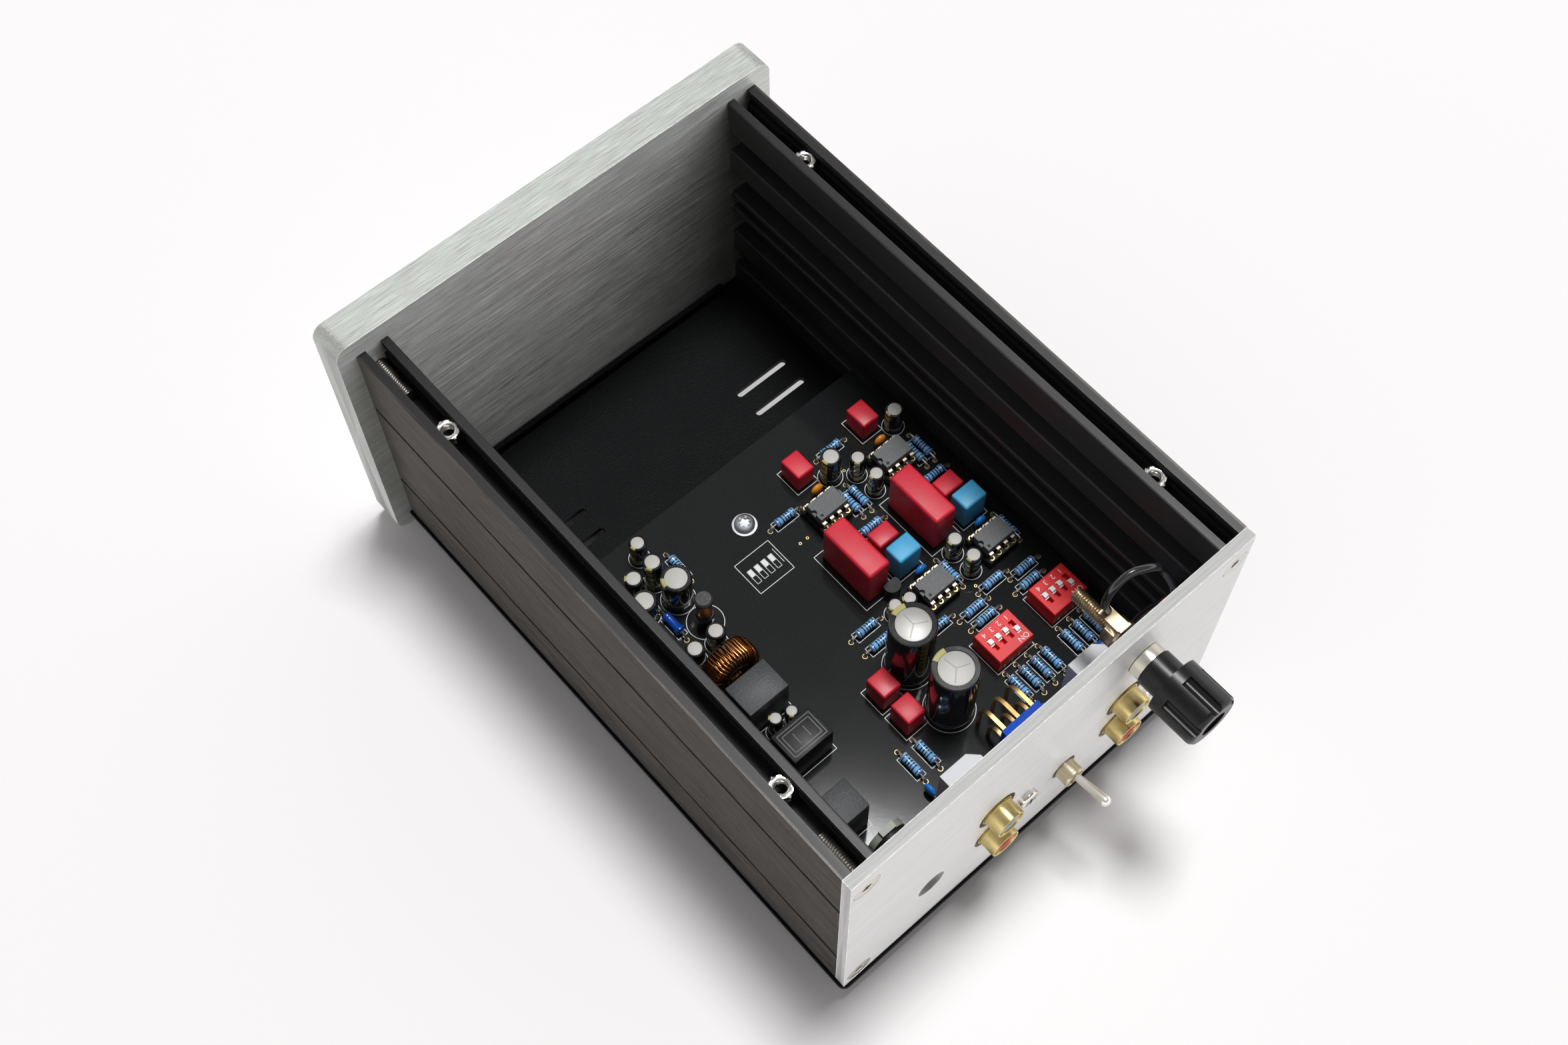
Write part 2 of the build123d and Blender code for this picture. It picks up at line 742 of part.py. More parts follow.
slider_travel = dip_slot_length - slider_length - 2 * slider_end_gap
with BuildPart() as slider:
    Box(
        dip_slot_width - 2 * slider_side_gap,
        slider_length,
        dip_slot_depth - 0.4,
        align=(Align.CENTER, Align.CENTER, Align.MIN),
    )
    Box(
        dip_slot_width - 2 * slider_side_gap,
        slider_knob_length,
        dip_slot_depth + slider_knob_rise,
        align=(Align.CENTER, Align.CENTER, Align.MIN),
    )
for letter, (inset, distance) in zip("ab", dip_places):
    for number, column in enumerate(dip_columns, start=1):
        end = 1 if number == 1 else -1
        y = ahead(distance) + end * slider_travel / 2
        with BuildPart() as slider_piece:
            with Locations((across(inset) + column, y, board_top + dip_height - dip_slot_depth)):
                add(slider.part)
        save(slider_piece, f"dip_slider_{letter}{number}")

# Power filter: line chokes, converter module, drum and toroid inductors
group(
    "line_chokes",
    [
        (block(front_choke_size, choke_edge), front_choke_place, 0),
        (block(rear_choke_size, choke_edge), rear_choke_place, 0),
    ],
)
group("converter_module", [(block(converter_size, converter_edge), converter_place, 0)])

drum_x, drum_y = across(drum_place[0]), ahead(drum_place[1])
drum_foot, drum_top = board_top + drum_foot_rise, board_top + drum_top_rise
with BuildPart() as drum_core:
    with Locations((drum_x, drum_y, drum_foot)):
        Cylinder(drum_core_radius, drum_top - drum_foot, align=(Align.CENTER, Align.CENTER, Align.MIN))
        Cylinder(drum_radius, drum_flange, align=(Align.CENTER, Align.CENTER, Align.MIN))
    with Locations((drum_x, drum_y, drum_top)):
        Cylinder(drum_radius, drum_flange, align=(Align.CENTER, Align.CENTER, Align.MAX))
    chamfer(drum_core.edges().group_by(Axis.Z)[-1], 0.4)
    with Locations((drum_x, drum_y, drum_foot)):
        with GridLocations(small_lead_pitch, 0, 2, 1):
            Cylinder(lead_radius, drum_foot_rise, align=(Align.CENTER, Align.CENTER, Align.MAX))
save(drum_core, "drum_inductor_core")

with BuildPart() as drum_winding:
    with BuildSketch(Plane.XY.offset(drum_foot + drum_flange)):
        with Locations((drum_x, drum_y)):
            Circle(drum_winding_radius)
            Circle(drum_core_radius, mode=Mode.SUBTRACT)
    extrude(amount=drum_top - drum_foot - 2 * drum_flange)
save(drum_winding, "drum_inductor_winding")

# Upright toroid: a winding of fat rounded section around an iron powder core
toroid_x, toroid_y = across(toroid_place[0]), ahead(toroid_place[1])
toroid_z = board_top + toroid_radius
toroid_axis = Axis((toroid_x, toroid_y, toroid_z), (0, 1, 0))
ring_middle = toroid_x + (toroid_radius + toroid_bore) / 2
ring_depth = toroid_radius - toroid_bore
toroid_plane = Plane((0, 0, toroid_z), x_dir=(1, 0, 0), z_dir=(0, 0, 1))
with BuildPart() as toroid_winding:
    with BuildSketch(toroid_plane):
        with Locations((ring_middle, toroid_y)):
            RectangleRounded(ring_depth, toroid_width, toroid_corner)
            Rectangle(
                ring_depth - 2 * winding_depth, toroid_width - 2 * winding_depth, mode=Mode.SUBTRACT
            )
    revolve(axis=toroid_axis)
save(toroid_winding, "toroid_winding")

with BuildPart() as toroid_core:
    with BuildSketch(toroid_plane):
        with Locations((ring_middle, toroid_y)):
            Rectangle(ring_depth - 2 * winding_depth, toroid_width - 2 * winding_depth)
    revolve(axis=toroid_axis)
save(toroid_core, "toroid_core")

# ---------------------------------------------------------------- signal sockets
with BuildPart() as signal_housings:
    for x in signal_columns:
        with BuildSketch(Plane.XY.offset(board_top)) as footprint:
            with Locations((x, ahead(housing_depth / 2))):
                Rectangle(housing_width, housing_depth)
            back = footprint.vertices().group_by(Axis.Y)[0].sort_by(Axis.X)[0]
            chamfer(back, housing_chamfer)
        extrude(amount=housing_height)
        with Locations((x - housing_width / 2 - lug_width / 2, ahead(lug_depth / 2), board_top)):
            Box(lug_width, lug_depth, lug_height, align=(Align.CENTER, Align.CENTER, Align.MIN))
        with Locations(Location((x - lug_screw_offset, rear_y, lug_screw_z), (-90, 0, 0))):
            Hole(small_screw_radius + screw_clearance, lug_depth)
save(signal_housings, "signal_socket_housings")

barrel_length = rear_panel_thickness + barrel_reach
signal_sockets = [(x, z) for x in signal_columns for z in (signal_low_z, signal_high_z)]
with BuildPart() as barrel:
    with BuildSketch(Plane.XZ):
        with BuildLine():
            Polyline(
                (barrel_radius - barrel_wall, 0),
                (barrel_base_radius, 0),
                (barrel_base_radius, rear_panel_thickness),
                (barrel_radius, rear_panel_thickness),
                (barrel_radius, barrel_length - 0.3),
                (barrel_radius - 0.3, barrel_length),
                (barrel_radius - barrel_wall, barrel_length),
                close=True,
            )
        make_face()
    revolve(axis=Axis.Z)
with BuildPart() as signal_barrels:
    with Locations(*[Location((x, rear_y, z), (-90, 0, 0)) for x, z in signal_sockets]):
        add(barrel.part)
save(signal_barrels, "signal_socket_barrels")

for z, name in ((signal_high_z, "signal_inserts_white"), (signal_low_z, "signal_inserts_red")):
    with BuildPart() as inserts:
        with BuildSketch(Plane.XZ.offset(-rear_y)):
            with Locations(*[(x, z) for x in signal_columns]):
                Circle(barrel_radius - barrel_wall - 0.03)
                Circle(insert_bore_radius, mode=Mode.SUBTRACT)
        extrude(amount=-(barrel_length - insert_recess))
    save(inserts, name)

lug_screw = pan_screw(small_screw_radius, small_screw_head_radius, small_screw_head_height,
                      rear_panel_thickness + lug_depth - 1.0)
with BuildPart() as socket_screws:
    places = [Location((x, rear_face_y, lug_screw_z), (-90, 0, 0)) for x in lug_screw_columns]
    with Locations(*places):
        add(lug_screw)
save(socket_screws, "signal_socket_screws")

# ---------------------------------------------------------------- power socket
with BuildPart() as power_socket:
    with BuildSketch(Plane.XZ.offset(-rear_y)):
        with Locations((power_column, power_z)):
            Circle(power_body_radius)
        with Locations((power_column, (board_top + power_z) / 2)):
            Rectangle(2 * power_body_radius, power_rise)
    extrude(amount=power_body_depth)
    with Locations(Location((power_column, rear_y, power_z), (-90, 0, 0))):
        Hole(power_bore_radius, power_bore_depth)
        with Locations((0, 0, -power_bore_depth)):
            Cylinder(power_pin_radius, power_bore_depth - 0.5,
                     align=(Align.CENTER, Align.CENTER, Align.MIN))
save(power_socket, "power_socket")

bracket_radius = power_body_radius + power_bracket_reach
with BuildPart() as power_bracket:
    with BuildSketch(Plane.XZ.offset(-ahead(power_body_depth))):
        with Locations((power_column, power_z)):
            Circle(bracket_radius)
        with Locations((power_column, (board_top + power_z) / 2)):
            Rectangle(2 * bracket_radius, power_rise)
        with Locations((power_column, power_z + bracket_radius)):
            Rectangle(4.2, 1.2)
    extrude(amount=power_bracket_depth)
save(power_bracket, "power_socket_bracket")

# ---------------------------------------------------------------- mute switch
switch_front_y = ahead(switch_gap)
switch_back_y = switch_front_y - switch_depth
with BuildPart() as toggle_body:
    with Locations((toggle_column, (switch_front_y + switch_back_y) / 2, toggle_z)):
        Box(switch_width, switch_depth, switch_height)
    chamfer(toggle_body.edges().filter_by(Axis.Y), 0.3)
save(toggle_body, "toggle_body")

with BuildPart() as toggle_base:
    with Locations((toggle_column, switch_back_y - switch_base_depth / 2, toggle_z)):
        Box(switch_width - 1.2, switch_base_depth, switch_height - 1.6)
save(toggle_base, "toggle_base")

pivot_y = rear_y + lever_pivot_inset
bushing_end_y = rear_face_y + bushing_reach
bushing_plane = Plane((toggle_column, 0, toggle_z), x_dir=(1, 0, 0), z_dir=(0, 0, 1))
with BuildPart() as toggle_bushing:
    with BuildSketch(bushing_plane):
        with BuildLine():
            Polyline(
                (0, switch_front_y),
                (4.6, switch_front_y),
                (4.6, switch_front_y + bushing_flange_thickness),
                (bushing_radius, switch_front_y + bushing_flange_thickness),
                (bushing_radius, bushing_end_y),
                (bushing_mouth_radius, bushing_end_y),
                (bushing_bore_radius, pivot_y + 2.0),
                (bushing_bore_radius, pivot_y - lever_ball_radius - 0.3),
                (0, pivot_y - lever_ball_radius - 0.3),
                close=True,
            )
        make_face()
    revolve(axis=Axis((toggle_column, 0, toggle_z), (0, 1, 0)))
    with Locations((toggle_column, bushing_end_y, toggle_z + bushing_radius)):
        Box(keyway_width, 2 * bushing_reach, 2 * keyway_depth, mode=Mode.SUBTRACT)
    with Locations(Location((toggle_column, pivot_y, toggle_z), (0, 90, 0))):
        Cylinder(lever_pin_radius + lever_pin_clearance, 2 * bushing_radius, mode=Mode.SUBTRACT)
save(toggle_bushing, "toggle_bushing")

# Lever at rest leans up by lever_angle about its ball
lever_plane = Plane((toggle_column, pivot_y, toggle_z), x_dir=(1, 0, 0), z_dir=(0, 0, 1))
with BuildPart() as toggle_lever:
    with BuildSketch(lever_plane.rotated((lever_angle, 0, 0))):
        with BuildLine():
            Line((0, -lever_ball_radius), (0, lever_length))
            tip = JernArc((0, lever_length), (1, 0), lever_tip_radius, -90)
            neck = Line(tip @ 1, (lever_neck_radius, lever_length - 10.2))
            low = sqrt(lever_ball_radius**2 - lever_neck_radius**2)
            Line(neck @ 1, (lever_neck_radius, low))
            ThreePointArc((lever_neck_radius, low), (lever_ball_radius, 0), (0, -lever_ball_radius))
        make_face()
    lean = (0, 1, tan(radians(lever_angle)))
    revolve(axis=Axis((toggle_column, pivot_y, toggle_z), lean))
    # Pivot pin through the ball, in the bushing's side walls
    with Locations(Location((toggle_column, pivot_y, toggle_z), (0, 90, 0))):
        Cylinder(lever_pin_radius, 2 * (bushing_radius - lever_pin_clearance))
save(toggle_lever, "toggle_lever")

terminal_start_y = switch_back_y - switch_base_depth
terminal_rows = [(2.4, 8.2), (-2.4, 4.6)]   # height from the axis, reach behind the base
with BuildPart() as toggle_terminals:
    for rise, reach in terminal_rows:
        for column in (-1, 0, 1):
            x = toggle_column + column * terminal_pitch
            with BuildSketch(Plane.YZ.offset(x - terminal_width / 2)):
                with BuildLine():
                    FilletPolyline(
                        (terminal_start_y, toggle_z + rise),
                        (terminal_start_y - reach, toggle_z + rise),
                        (terminal_start_y - reach, board_top),
                        radius=min(reach, 6.0) * 0.6,
                    )
                trace(line_width=terminal_thickness)
            extrude(amount=terminal_width)
save(toggle_terminals, "toggle_terminals")

# ---------------------------------------------------------------- ground post
post_inner_y = rear_y - post_inner_reach
ring_end_y = rear_face_y + ring_length
neck_end_y = ring_end_y + neck_length
knob_end_y = neck_end_y + knob_length
stud_end_y = knob_end_y - knob_recess_depth - 0.8


def along_y(x, y, z):
    """Location with its own Z pointing along +Y."""
    return Location((x, y, z), (-90, 0, 0))


with BuildPart() as ground_post:
    with Locations(along_y(post_column, post_inner_y, post_z)):
        Cylinder(post_radius, stud_end_y - post_inner_y, align=(Align.CENTER, Align.CENTER, Align.MIN))
    chamfer(ground_post.edges(), 0.4)
    with Locations(along_y(post_column, rear_face_y, post_z)):
        Cylinder(ring_radius, ring_length, align=(Align.CENTER, Align.CENTER, Align.MIN))
    with Locations((post_column, rear_face_y + ring_length / 2, post_z + ring_radius)):
        Box(1.2, ring_length, 0.8, mode=Mode.SUBTRACT)
save(ground_post, "ground_post")

post_nut = hex_nut(post_nut_width, post_nut_height, post_radius + sleeve_clearance)
nut_starts = [rear_y - post_nut_height, rear_y - 2 * post_nut_height - tag_thickness]
with BuildPart() as ground_nuts:
    with Locations(*[along_y(post_column, y, post_z) for y in nut_starts]):
        add(post_nut)
save(ground_nuts, "ground_nuts")

tag_y = nut_starts[1] + post_nut_height
with BuildPart() as ground_tag:
    with BuildSketch(Plane.XZ.offset(-tag_y)):
        with Locations((post_column, post_z)):
            Circle(tag_radius)
        with Locations((post_column, post_z + tag_radius / 2 + 0.4)):
            Rectangle(tag_tab_width, tag_radius + 0.8)
        with Locations((post_column, post_z)):
            Circle(post_radius + sleeve_clearance, mode=Mode.SUBTRACT)
    extrude(amount=-tag_thickness)
    tab_z = post_z + tag_radius + tag_tab_rise
    with Locations((post_column, tag_y + tag_thickness, tab_z)):
        Box(
            tag_tab_width, tag_tab_length, tag_thickness,
            align=(Align.CENTER, Align.MAX, Align.MAX),
        )
save(ground_tag, "ground_tag")

# Threaded sleeve in the knob: it travels along the stud as the knob turns
sleeve_start_y = ring_end_y + 1.0
with BuildPart() as ground_sleeve:
    with Locations(along_y(post_column, sleeve_start_y, post_z)):
        Cylinder(sleeve_radius, sleeve_length, align=(Align.CENTER, Align.CENTER, Align.MIN))
        Cylinder(post_radius + sleeve_clearance, sleeve_length,
                 align=(Align.CENTER, Align.CENTER, Align.MIN), mode=Mode.SUBTRACT)
save(ground_sleeve, "ground_sleeve")

with BuildPart() as ground_knob:
    with Locations(along_y(post_column, ring_end_y, post_z)):
        Cylinder(neck_radius, neck_length, align=(Align.CENTER, Align.CENTER, Align.MIN))
    with Locations(along_y(post_column, neck_end_y, post_z)):
        Cylinder(knob_radius, knob_length, align=(Align.CENTER, Align.CENTER, Align.MIN))
    fillet(ground_knob.edges().group_by(Axis.Y)[-1], knob_edge)
    # Side slots, open at the front, with rounded inner ends
    with BuildSketch(Plane.XZ.offset(-knob_end_y)):
        with Locations((post_column, post_z)):
            with PolarLocations(knob_radius, knob_slots, start_angle=30):
                Circle(knob_slot_depth)
    extrude(amount=knob_length - knob_slot_start, mode=Mode.SUBTRACT)
    with Locations(along_y(post_column, ring_end_y, post_z)):
        Cylinder(sleeve_radius + sleeve_clearance, neck_length + knob_length - knob_recess_depth,
                 align=(Align.CENTER, Align.CENTER, Align.MIN), mode=Mode.SUBTRACT)
    with Locations(along_y(post_column, knob_end_y, post_z)):
        Cylinder(knob_recess_radius, knob_recess_depth,
                 align=(Align.CENTER, Align.CENTER, Align.MAX), mode=Mode.SUBTRACT)
save(ground_knob, "ground_knob")

# ---------------------------------------------------------------- ground wire
with BuildPart() as ground_terminal:
    with Locations((across(terminal_block_place[0]), ahead(terminal_block_place[1]), board_top)):
        Box(*terminal_block_size, align=(Align.CENTER, Align.CENTER, Align.MIN))
    chamfer(ground_terminal.faces().sort_by(Axis.Z)[-1].edges().filter_by(Axis.X), 1.2)
save(ground_terminal, "ground_terminal")

wire_points = [
    (post_column - 0.2, ahead(9.4), post_z + tag_radius + tag_tab_rise + 0.5),
    (post_column + 1.6, ahead(9.8), post_z + 10.0),
    (post_column - 0.2, ahead(10.1), post_z + 14.7),
    (post_column - 5.2, ahead(9.8), post_z + 17.5),
    (post_column - 11.4, ahead(7.2), post_z + 16.1),
    (post_column - 15.2, ahead(7.4), post_z + 9.3),
    (post_column - 19.5, ahead(5.0), post_z - 2.2),
    (post_column - 21.9, ahead(5.9), post_z - 13.0),
    (post_column - 17.7, ahead(10.1), post_z - 23.3),
    (post_column - 11.8, ahead(9.6), board_top + terminal_block_size[2] + 0.6),
]


def bend_radii(points):
    """Largest tangent arc at each corner of a route, 0.45 of the shorter run."""
    radii = []
    for before, corner, after in zip(points, points[1:], points[2:]):
        first = Vector(*corner) - Vector(*before)
        second = Vector(*after) - Vector(*corner)
        turn = radians(first.get_angle(second))
        radii.append(0.45 * min(first.length, second.length) / tan(turn / 2))
    return radii


wire_bends = bend_radii(wire_points)
print("ground wire bend radii", [round(r, 1) for r in wire_bends])
with BuildPart() as ground_wire:
    with BuildLine() as route:
        FilletPolyline(*wire_points, radius=wire_bends)
    with BuildSketch(Plane(origin=route.line @ 0, z_dir=route.line % 0)):
        Circle(wire_radius)
    sweep()
print("ground wire length", round(sum(edge.length for edge in route.edges()), 1))
save(ground_wire, "ground_wire")
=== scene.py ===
import random
from math import cos, pi, radians, sin

import bmesh
import bpy
from mathutils import Matrix, Vector


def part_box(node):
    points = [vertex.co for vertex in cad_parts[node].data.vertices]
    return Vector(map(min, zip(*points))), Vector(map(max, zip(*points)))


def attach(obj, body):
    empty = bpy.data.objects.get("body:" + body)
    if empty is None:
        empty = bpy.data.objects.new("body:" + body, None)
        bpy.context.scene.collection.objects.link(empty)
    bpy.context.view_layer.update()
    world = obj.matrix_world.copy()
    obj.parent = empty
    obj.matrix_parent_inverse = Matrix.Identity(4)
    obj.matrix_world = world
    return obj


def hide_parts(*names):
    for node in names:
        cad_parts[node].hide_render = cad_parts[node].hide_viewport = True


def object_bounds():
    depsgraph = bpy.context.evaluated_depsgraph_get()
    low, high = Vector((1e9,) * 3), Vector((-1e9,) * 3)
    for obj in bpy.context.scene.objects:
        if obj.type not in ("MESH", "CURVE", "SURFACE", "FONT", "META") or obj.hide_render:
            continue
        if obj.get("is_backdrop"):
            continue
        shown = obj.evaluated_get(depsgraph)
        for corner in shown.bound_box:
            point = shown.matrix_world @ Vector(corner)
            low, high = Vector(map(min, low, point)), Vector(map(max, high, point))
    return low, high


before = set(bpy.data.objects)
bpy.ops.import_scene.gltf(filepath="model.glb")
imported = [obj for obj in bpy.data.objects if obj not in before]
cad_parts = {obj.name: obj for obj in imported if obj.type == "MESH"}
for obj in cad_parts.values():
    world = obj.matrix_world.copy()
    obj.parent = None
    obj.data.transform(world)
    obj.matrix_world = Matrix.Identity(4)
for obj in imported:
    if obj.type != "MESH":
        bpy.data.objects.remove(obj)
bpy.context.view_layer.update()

print("case loaded")

# places that several pieces share, in millimetres
mm = 0.001
rearY, panelY = (round(corner[1] / mm, 2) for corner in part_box("rear_panel"))
boardTop = round(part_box("circuit_board")[1][2] / mm, 2)
inkLift = 0.02
inkTop = boardTop + inkLift
signalX = [-26.8, 15.2]
signalZ = {"red": 32.3, "white": 46.3}
postX, postZ = -28.7, 67.7
toggleX, toggleZ = -8.9, 31.8
drumX, drumAhead = 28.5, 86.7
slotX = 57.2
quarter = pi / 2
sides = (-1, 1)


def at(x, ahead, z=boardTop):  # a place on the board, measured ahead of the rear panel
    return Vector((x, rearY - ahead, z))


# nodes for the finishes and for the shape trees
def feed(tree, node, inputs):  # a socket is linked, a plain value is set
    for key, value in inputs.items():
        if isinstance(value, bpy.types.NodeSocket):
            tree.links.new(value, node.inputs[key])
        else:
            node.inputs[key].default_value = value


def addNode(tree, kind, inputs=None, **settings):
    node = tree.nodes.new(kind)
    for key, value in settings.items():
        setattr(node, key, value)
    feed(tree, node, inputs or {})
    return node


def shade(tree, kind, inputs=None, **settings):
    return addNode(tree, "ShaderNode" + kind, inputs, **settings)


def maths(tree, operation, first, second=0.0):
    return shade(tree, "Math", {0: first, 1: second}, operation=operation).outputs[0]


def times(tree, first, second):
    return maths(tree, "MULTIPLY", first, second)


def plus(tree, first, second):
    return maths(tree, "ADD", first, second)


def offFrom(tree, value, centre):
    return maths(tree, "ABSOLUTE", maths(tree, "SUBTRACT", value, centre))


def remap(tree, value, low, high, newLow=0.0, newHigh=1.0):
    inputs = {"Value": value, "From Min": low, "From Max": high, "To Min": newLow, "To Max": newHigh}
    return shade(tree, "MapRange", inputs).outputs[0]


def between(tree, amount, low, high):
    return remap(tree, amount, 0.0, 1.0, low, high)


def parts(tree, vector):
    return shade(tree, "SeparateXYZ", {0: vector}).outputs


def vectorMaths(tree, operation, inputs, output=0):
    return shade(tree, "VectorMath", inputs, operation=operation).outputs[output]


def normalOf(tree):
    return shade(tree, "NewGeometry").outputs["Normal"]


def noise(tree, place, scale, detail, roughness=0.5):
    inputs = {"Vector": place, "Scale": scale, "Detail": detail, "Roughness": roughness}
    return shade(tree, "TexNoise", inputs).outputs[0]


def blendColour(tree, factor, first, second):
    return shade(tree, "Mix", {0: factor, 6: first, 7: second}, data_type="RGBA").outputs[2]


def tint(colour, factor):
    return tuple(min(1.0, c * factor) for c in colour[:3]) + (1.0,)


def shades(tree, amount, colour, dark, light):  # one colour, from its dark to its light shade
    return blendColour(tree, amount, tint(colour, dark), tint(colour, light))


socketKinds = {float: "NodeSocketFloat", int: "NodeSocketInt", tuple: "NodeSocketVector"}


def startTree(kind, name, inputs, outputs):  # an input is given by its first value, or its kind of socket
    tree = bpy.data.node_groups.new(name, kind)
    for label, value in inputs.items():
        named = isinstance(value, str)
        wanted = value if named else socketKinds[type(value)]
        socket = tree.interface.new_socket(name=label, in_out="INPUT", socket_type=wanted)
        if not named:
            socket.default_value = value
    for label, wanted in outputs.items():
        tree.interface.new_socket(name=label, in_out="OUTPUT", socket_type=wanted)
    return tree, tree.nodes.new("NodeGroupInput").outputs, tree.nodes.new("NodeGroupOutput").inputs


def startGroup(name, inputs, outputs):
    return startTree("ShaderNodeTree", name, inputs, {label: "NodeSocketFloat" for label in outputs})


def useGroup(tree, group, **inputs):
    return addNode(tree, "ShaderNodeGroup", inputs, node_tree=group).outputs


def brushGrainGroup():  # streaks of a brushing belt; Stretch is large across the grain, small along it
    inputs = {"Place": "NodeSocketVector", "Stretch": (1.0, 1.0, 1.0)}
    tree, ins, outs = startGroup("brushGrain", inputs, ["Streak", "Cloud"])
    stretched = vectorMaths(tree, "MULTIPLY", {0: ins["Place"], 1: ins["Stretch"]})
    tree.links.new(remap(tree, noise(tree, stretched, 1.0, 5.0, 0.75), 0.3, 0.7), outs["Streak"])
    tree.links.new(remap(tree, noise(tree, stretched, 0.13, 3.0), 0.3, 0.7), outs["Cloud"])
    return tree


def skinGrainGroup():  # small pits and grains of a moulded or sprayed skin
    inputs = {"Place": "NodeSocketVector", "Grain": 4000.0}
    tree, ins, outs = startGroup("skinGrain", inputs, ["Height", "Patch"])
    tree.links.new(noise(tree, ins["Place"], ins["Grain"], 3.0), outs["Height"])
    tree.links.new(remap(tree, noise(tree, ins["Place"], 90.0, 4.0), 0.35, 0.65), outs["Patch"])
    return tree


def edgeHighlightGroup():  # painted highlight along sharp edges, broken up by noise
    tree, ins, outs = startGroup("edgeRub", {"Width": 0.0004, "Place": "NodeSocketVector"}, ["Mask"])
    rounded = shade(tree, "Bevel", {"Radius": ins["Width"]}, samples=4).outputs[0]
    turned = vectorMaths(tree, "DOT_PRODUCT", {0: rounded, 1: normalOf(tree)}, "Value")
    breakUp = remap(tree, noise(tree, ins["Place"], 700.0, 4.0), 0.3, 0.6, 0.2, 1.0)
    tree.links.new(times(tree, remap(tree, turned, 0.995, 0.9), breakUp), outs["Mask"])
    return tree


def lightDustGroup():  # settled dust, only where the surface looks up
    tree, ins, outs = startGroup("lightDust", {"Place": "NodeSocketVector", "Amount": 0.3}, ["Mask"])
    upward = maths(tree, "MAXIMUM", parts(tree, normalOf(tree))[2], 0.0)
    specks = remap(tree, noise(tree, ins["Place"], 2600.0, 2.0), 0.6, 0.72)
    tree.links.new(times(tree, times(tree, specks, upward), ins["Amount"]), outs["Mask"])
    return tree


brushGrain, skinGrain = brushGrainGroup(), skinGrainGroup()
edgeRub, lightDust = edgeHighlightGroup(), lightDustGroup()


# the finishes; sizes in them are in metres, as the object's own coordinates are
def startMaterial(name):
    material = bpy.data.materials.new(name)
    material.use_nodes = True
    tree = material.node_tree
    tree.nodes.clear()
    shader = shade(tree, "BsdfPrincipled")
    tree.links.new(shader.outputs[0], shade(tree, "OutputMaterial").inputs[0])
    return material, tree, shader, shade(tree, "TexCoord").outputs["Object"]


def setSurface(tree, shader, base, rough, plain, height, strength, depth):
    bump = shade(tree, "Bump", {"Strength": strength, "Distance": depth, "Height": height}).outputs[0]
    feed(tree, shader, {"Base Color": base, "Roughness": rough, "Normal": bump, **plain})


def stretchedGloss(tree, along):  # highlights stretch across the grain
    return shade(tree, "Tangent", direction_type="RADIAL", axis=along).outputs[0]


def brushedMetal(name, colour, roughness, stretch, depth, contrast, rub, pull, roughShadedInside):
    sawnShadeTint, sawnRoughness = 0.8, 0.9
    material, tree, shader, spot = startMaterial(name)
    dark, light = 1 - contrast, 1 + contrast
    grain = useGroup(tree, brushGrain, Place=spot, Stretch=stretch)
    base = shades(tree, grain["Streak"], colour, dark, light)
    base = blendColour(tree, times(tree, grain["Cloud"], 0.2), base, tint(colour, dark))
    # the sawn edges of a panel, and the inside of one, are rougher than its brushed faces; their colour is
    # also darkened, painted shade that holds down the lamp's highlight and its bounce
    facing = parts(tree, normalOf(tree))[1]
    sawn = remap(tree, facing if roughShadedInside else maths(tree, "ABSOLUTE", facing), 0.3, 0.6, 1.0, 0.0)
    sawnShade = shades(tree, grain["Streak"], colour, sawnShadeTint * dark, sawnShadeTint * light)
    base = blendColour(tree, sawn, base, sawnShade)
    # sharp edges lightened: painted highlight
    base = blendColour(tree, useGroup(tree, edgeRub, Width=rub, Place=spot)["Mask"], base, tint(colour, 1.35))
    rough = between(tree, grain["Streak"], roughness * 0.75, roughness * 1.3)
    rough = maths(tree, "MAXIMUM", rough, times(tree, sawn, sawnRoughness))
    plain = {"Metallic": 1.0, "Anisotropic": pull, "Tangent": stretchedGloss(tree, "X")}
    setSurface(tree, shader, base, rough, plain, grain["Streak"], 0.35, depth)
    return material


def moulded(name, colour, roughness, grain=3000.0, depth=0.00001, dust=0.05, coat=0.0, specular=0.5,
            spread=0.12):
    material, tree, shader, spot = startMaterial(name)
    dark, light = 1 - spread, 1 + spread
    skin = useGroup(tree, skinGrain, Place=spot, Grain=grain)
    base = shades(tree, skin["Patch"], colour, dark, light)
    mask = useGroup(tree, lightDust, Place=spot, Amount=dust)["Mask"]
    base = blendColour(tree, mask, base, (0.55, 0.54, 0.52, 1.0))
    rough = between(tree, skin["Patch"], roughness * dark, roughness * light)
    plain = {"Coat Weight": coat, "Coat Roughness": 0.06, "Specular IOR Level": specular}
    setSurface(tree, shader, base, rough, plain, skin["Height"], 0.25, depth)
    return material


def plated(name, colour, roughness, wear=0.25, depth=0.00001):
    material, tree, shader, spot = startMaterial(name)
    skin = useGroup(tree, skinGrain, Place=spot, Grain=1800.0)
    base = shades(tree, skin["Patch"], colour, 0.9, 1.06)
    # sharp edges lightened: painted highlight
    mask = useGroup(tree, edgeRub, Width=0.00025, Place=spot)["Mask"]
    base = blendColour(tree, times(tree, mask, wear), base, tint(colour, 1.3))
    rough = between(tree, skin["Patch"], roughness * 0.8, roughness * 1.4)
    setSurface(tree, shader, base, rough, {"Metallic": 1.0}, skin["Height"], 0.2, depth)
    return material


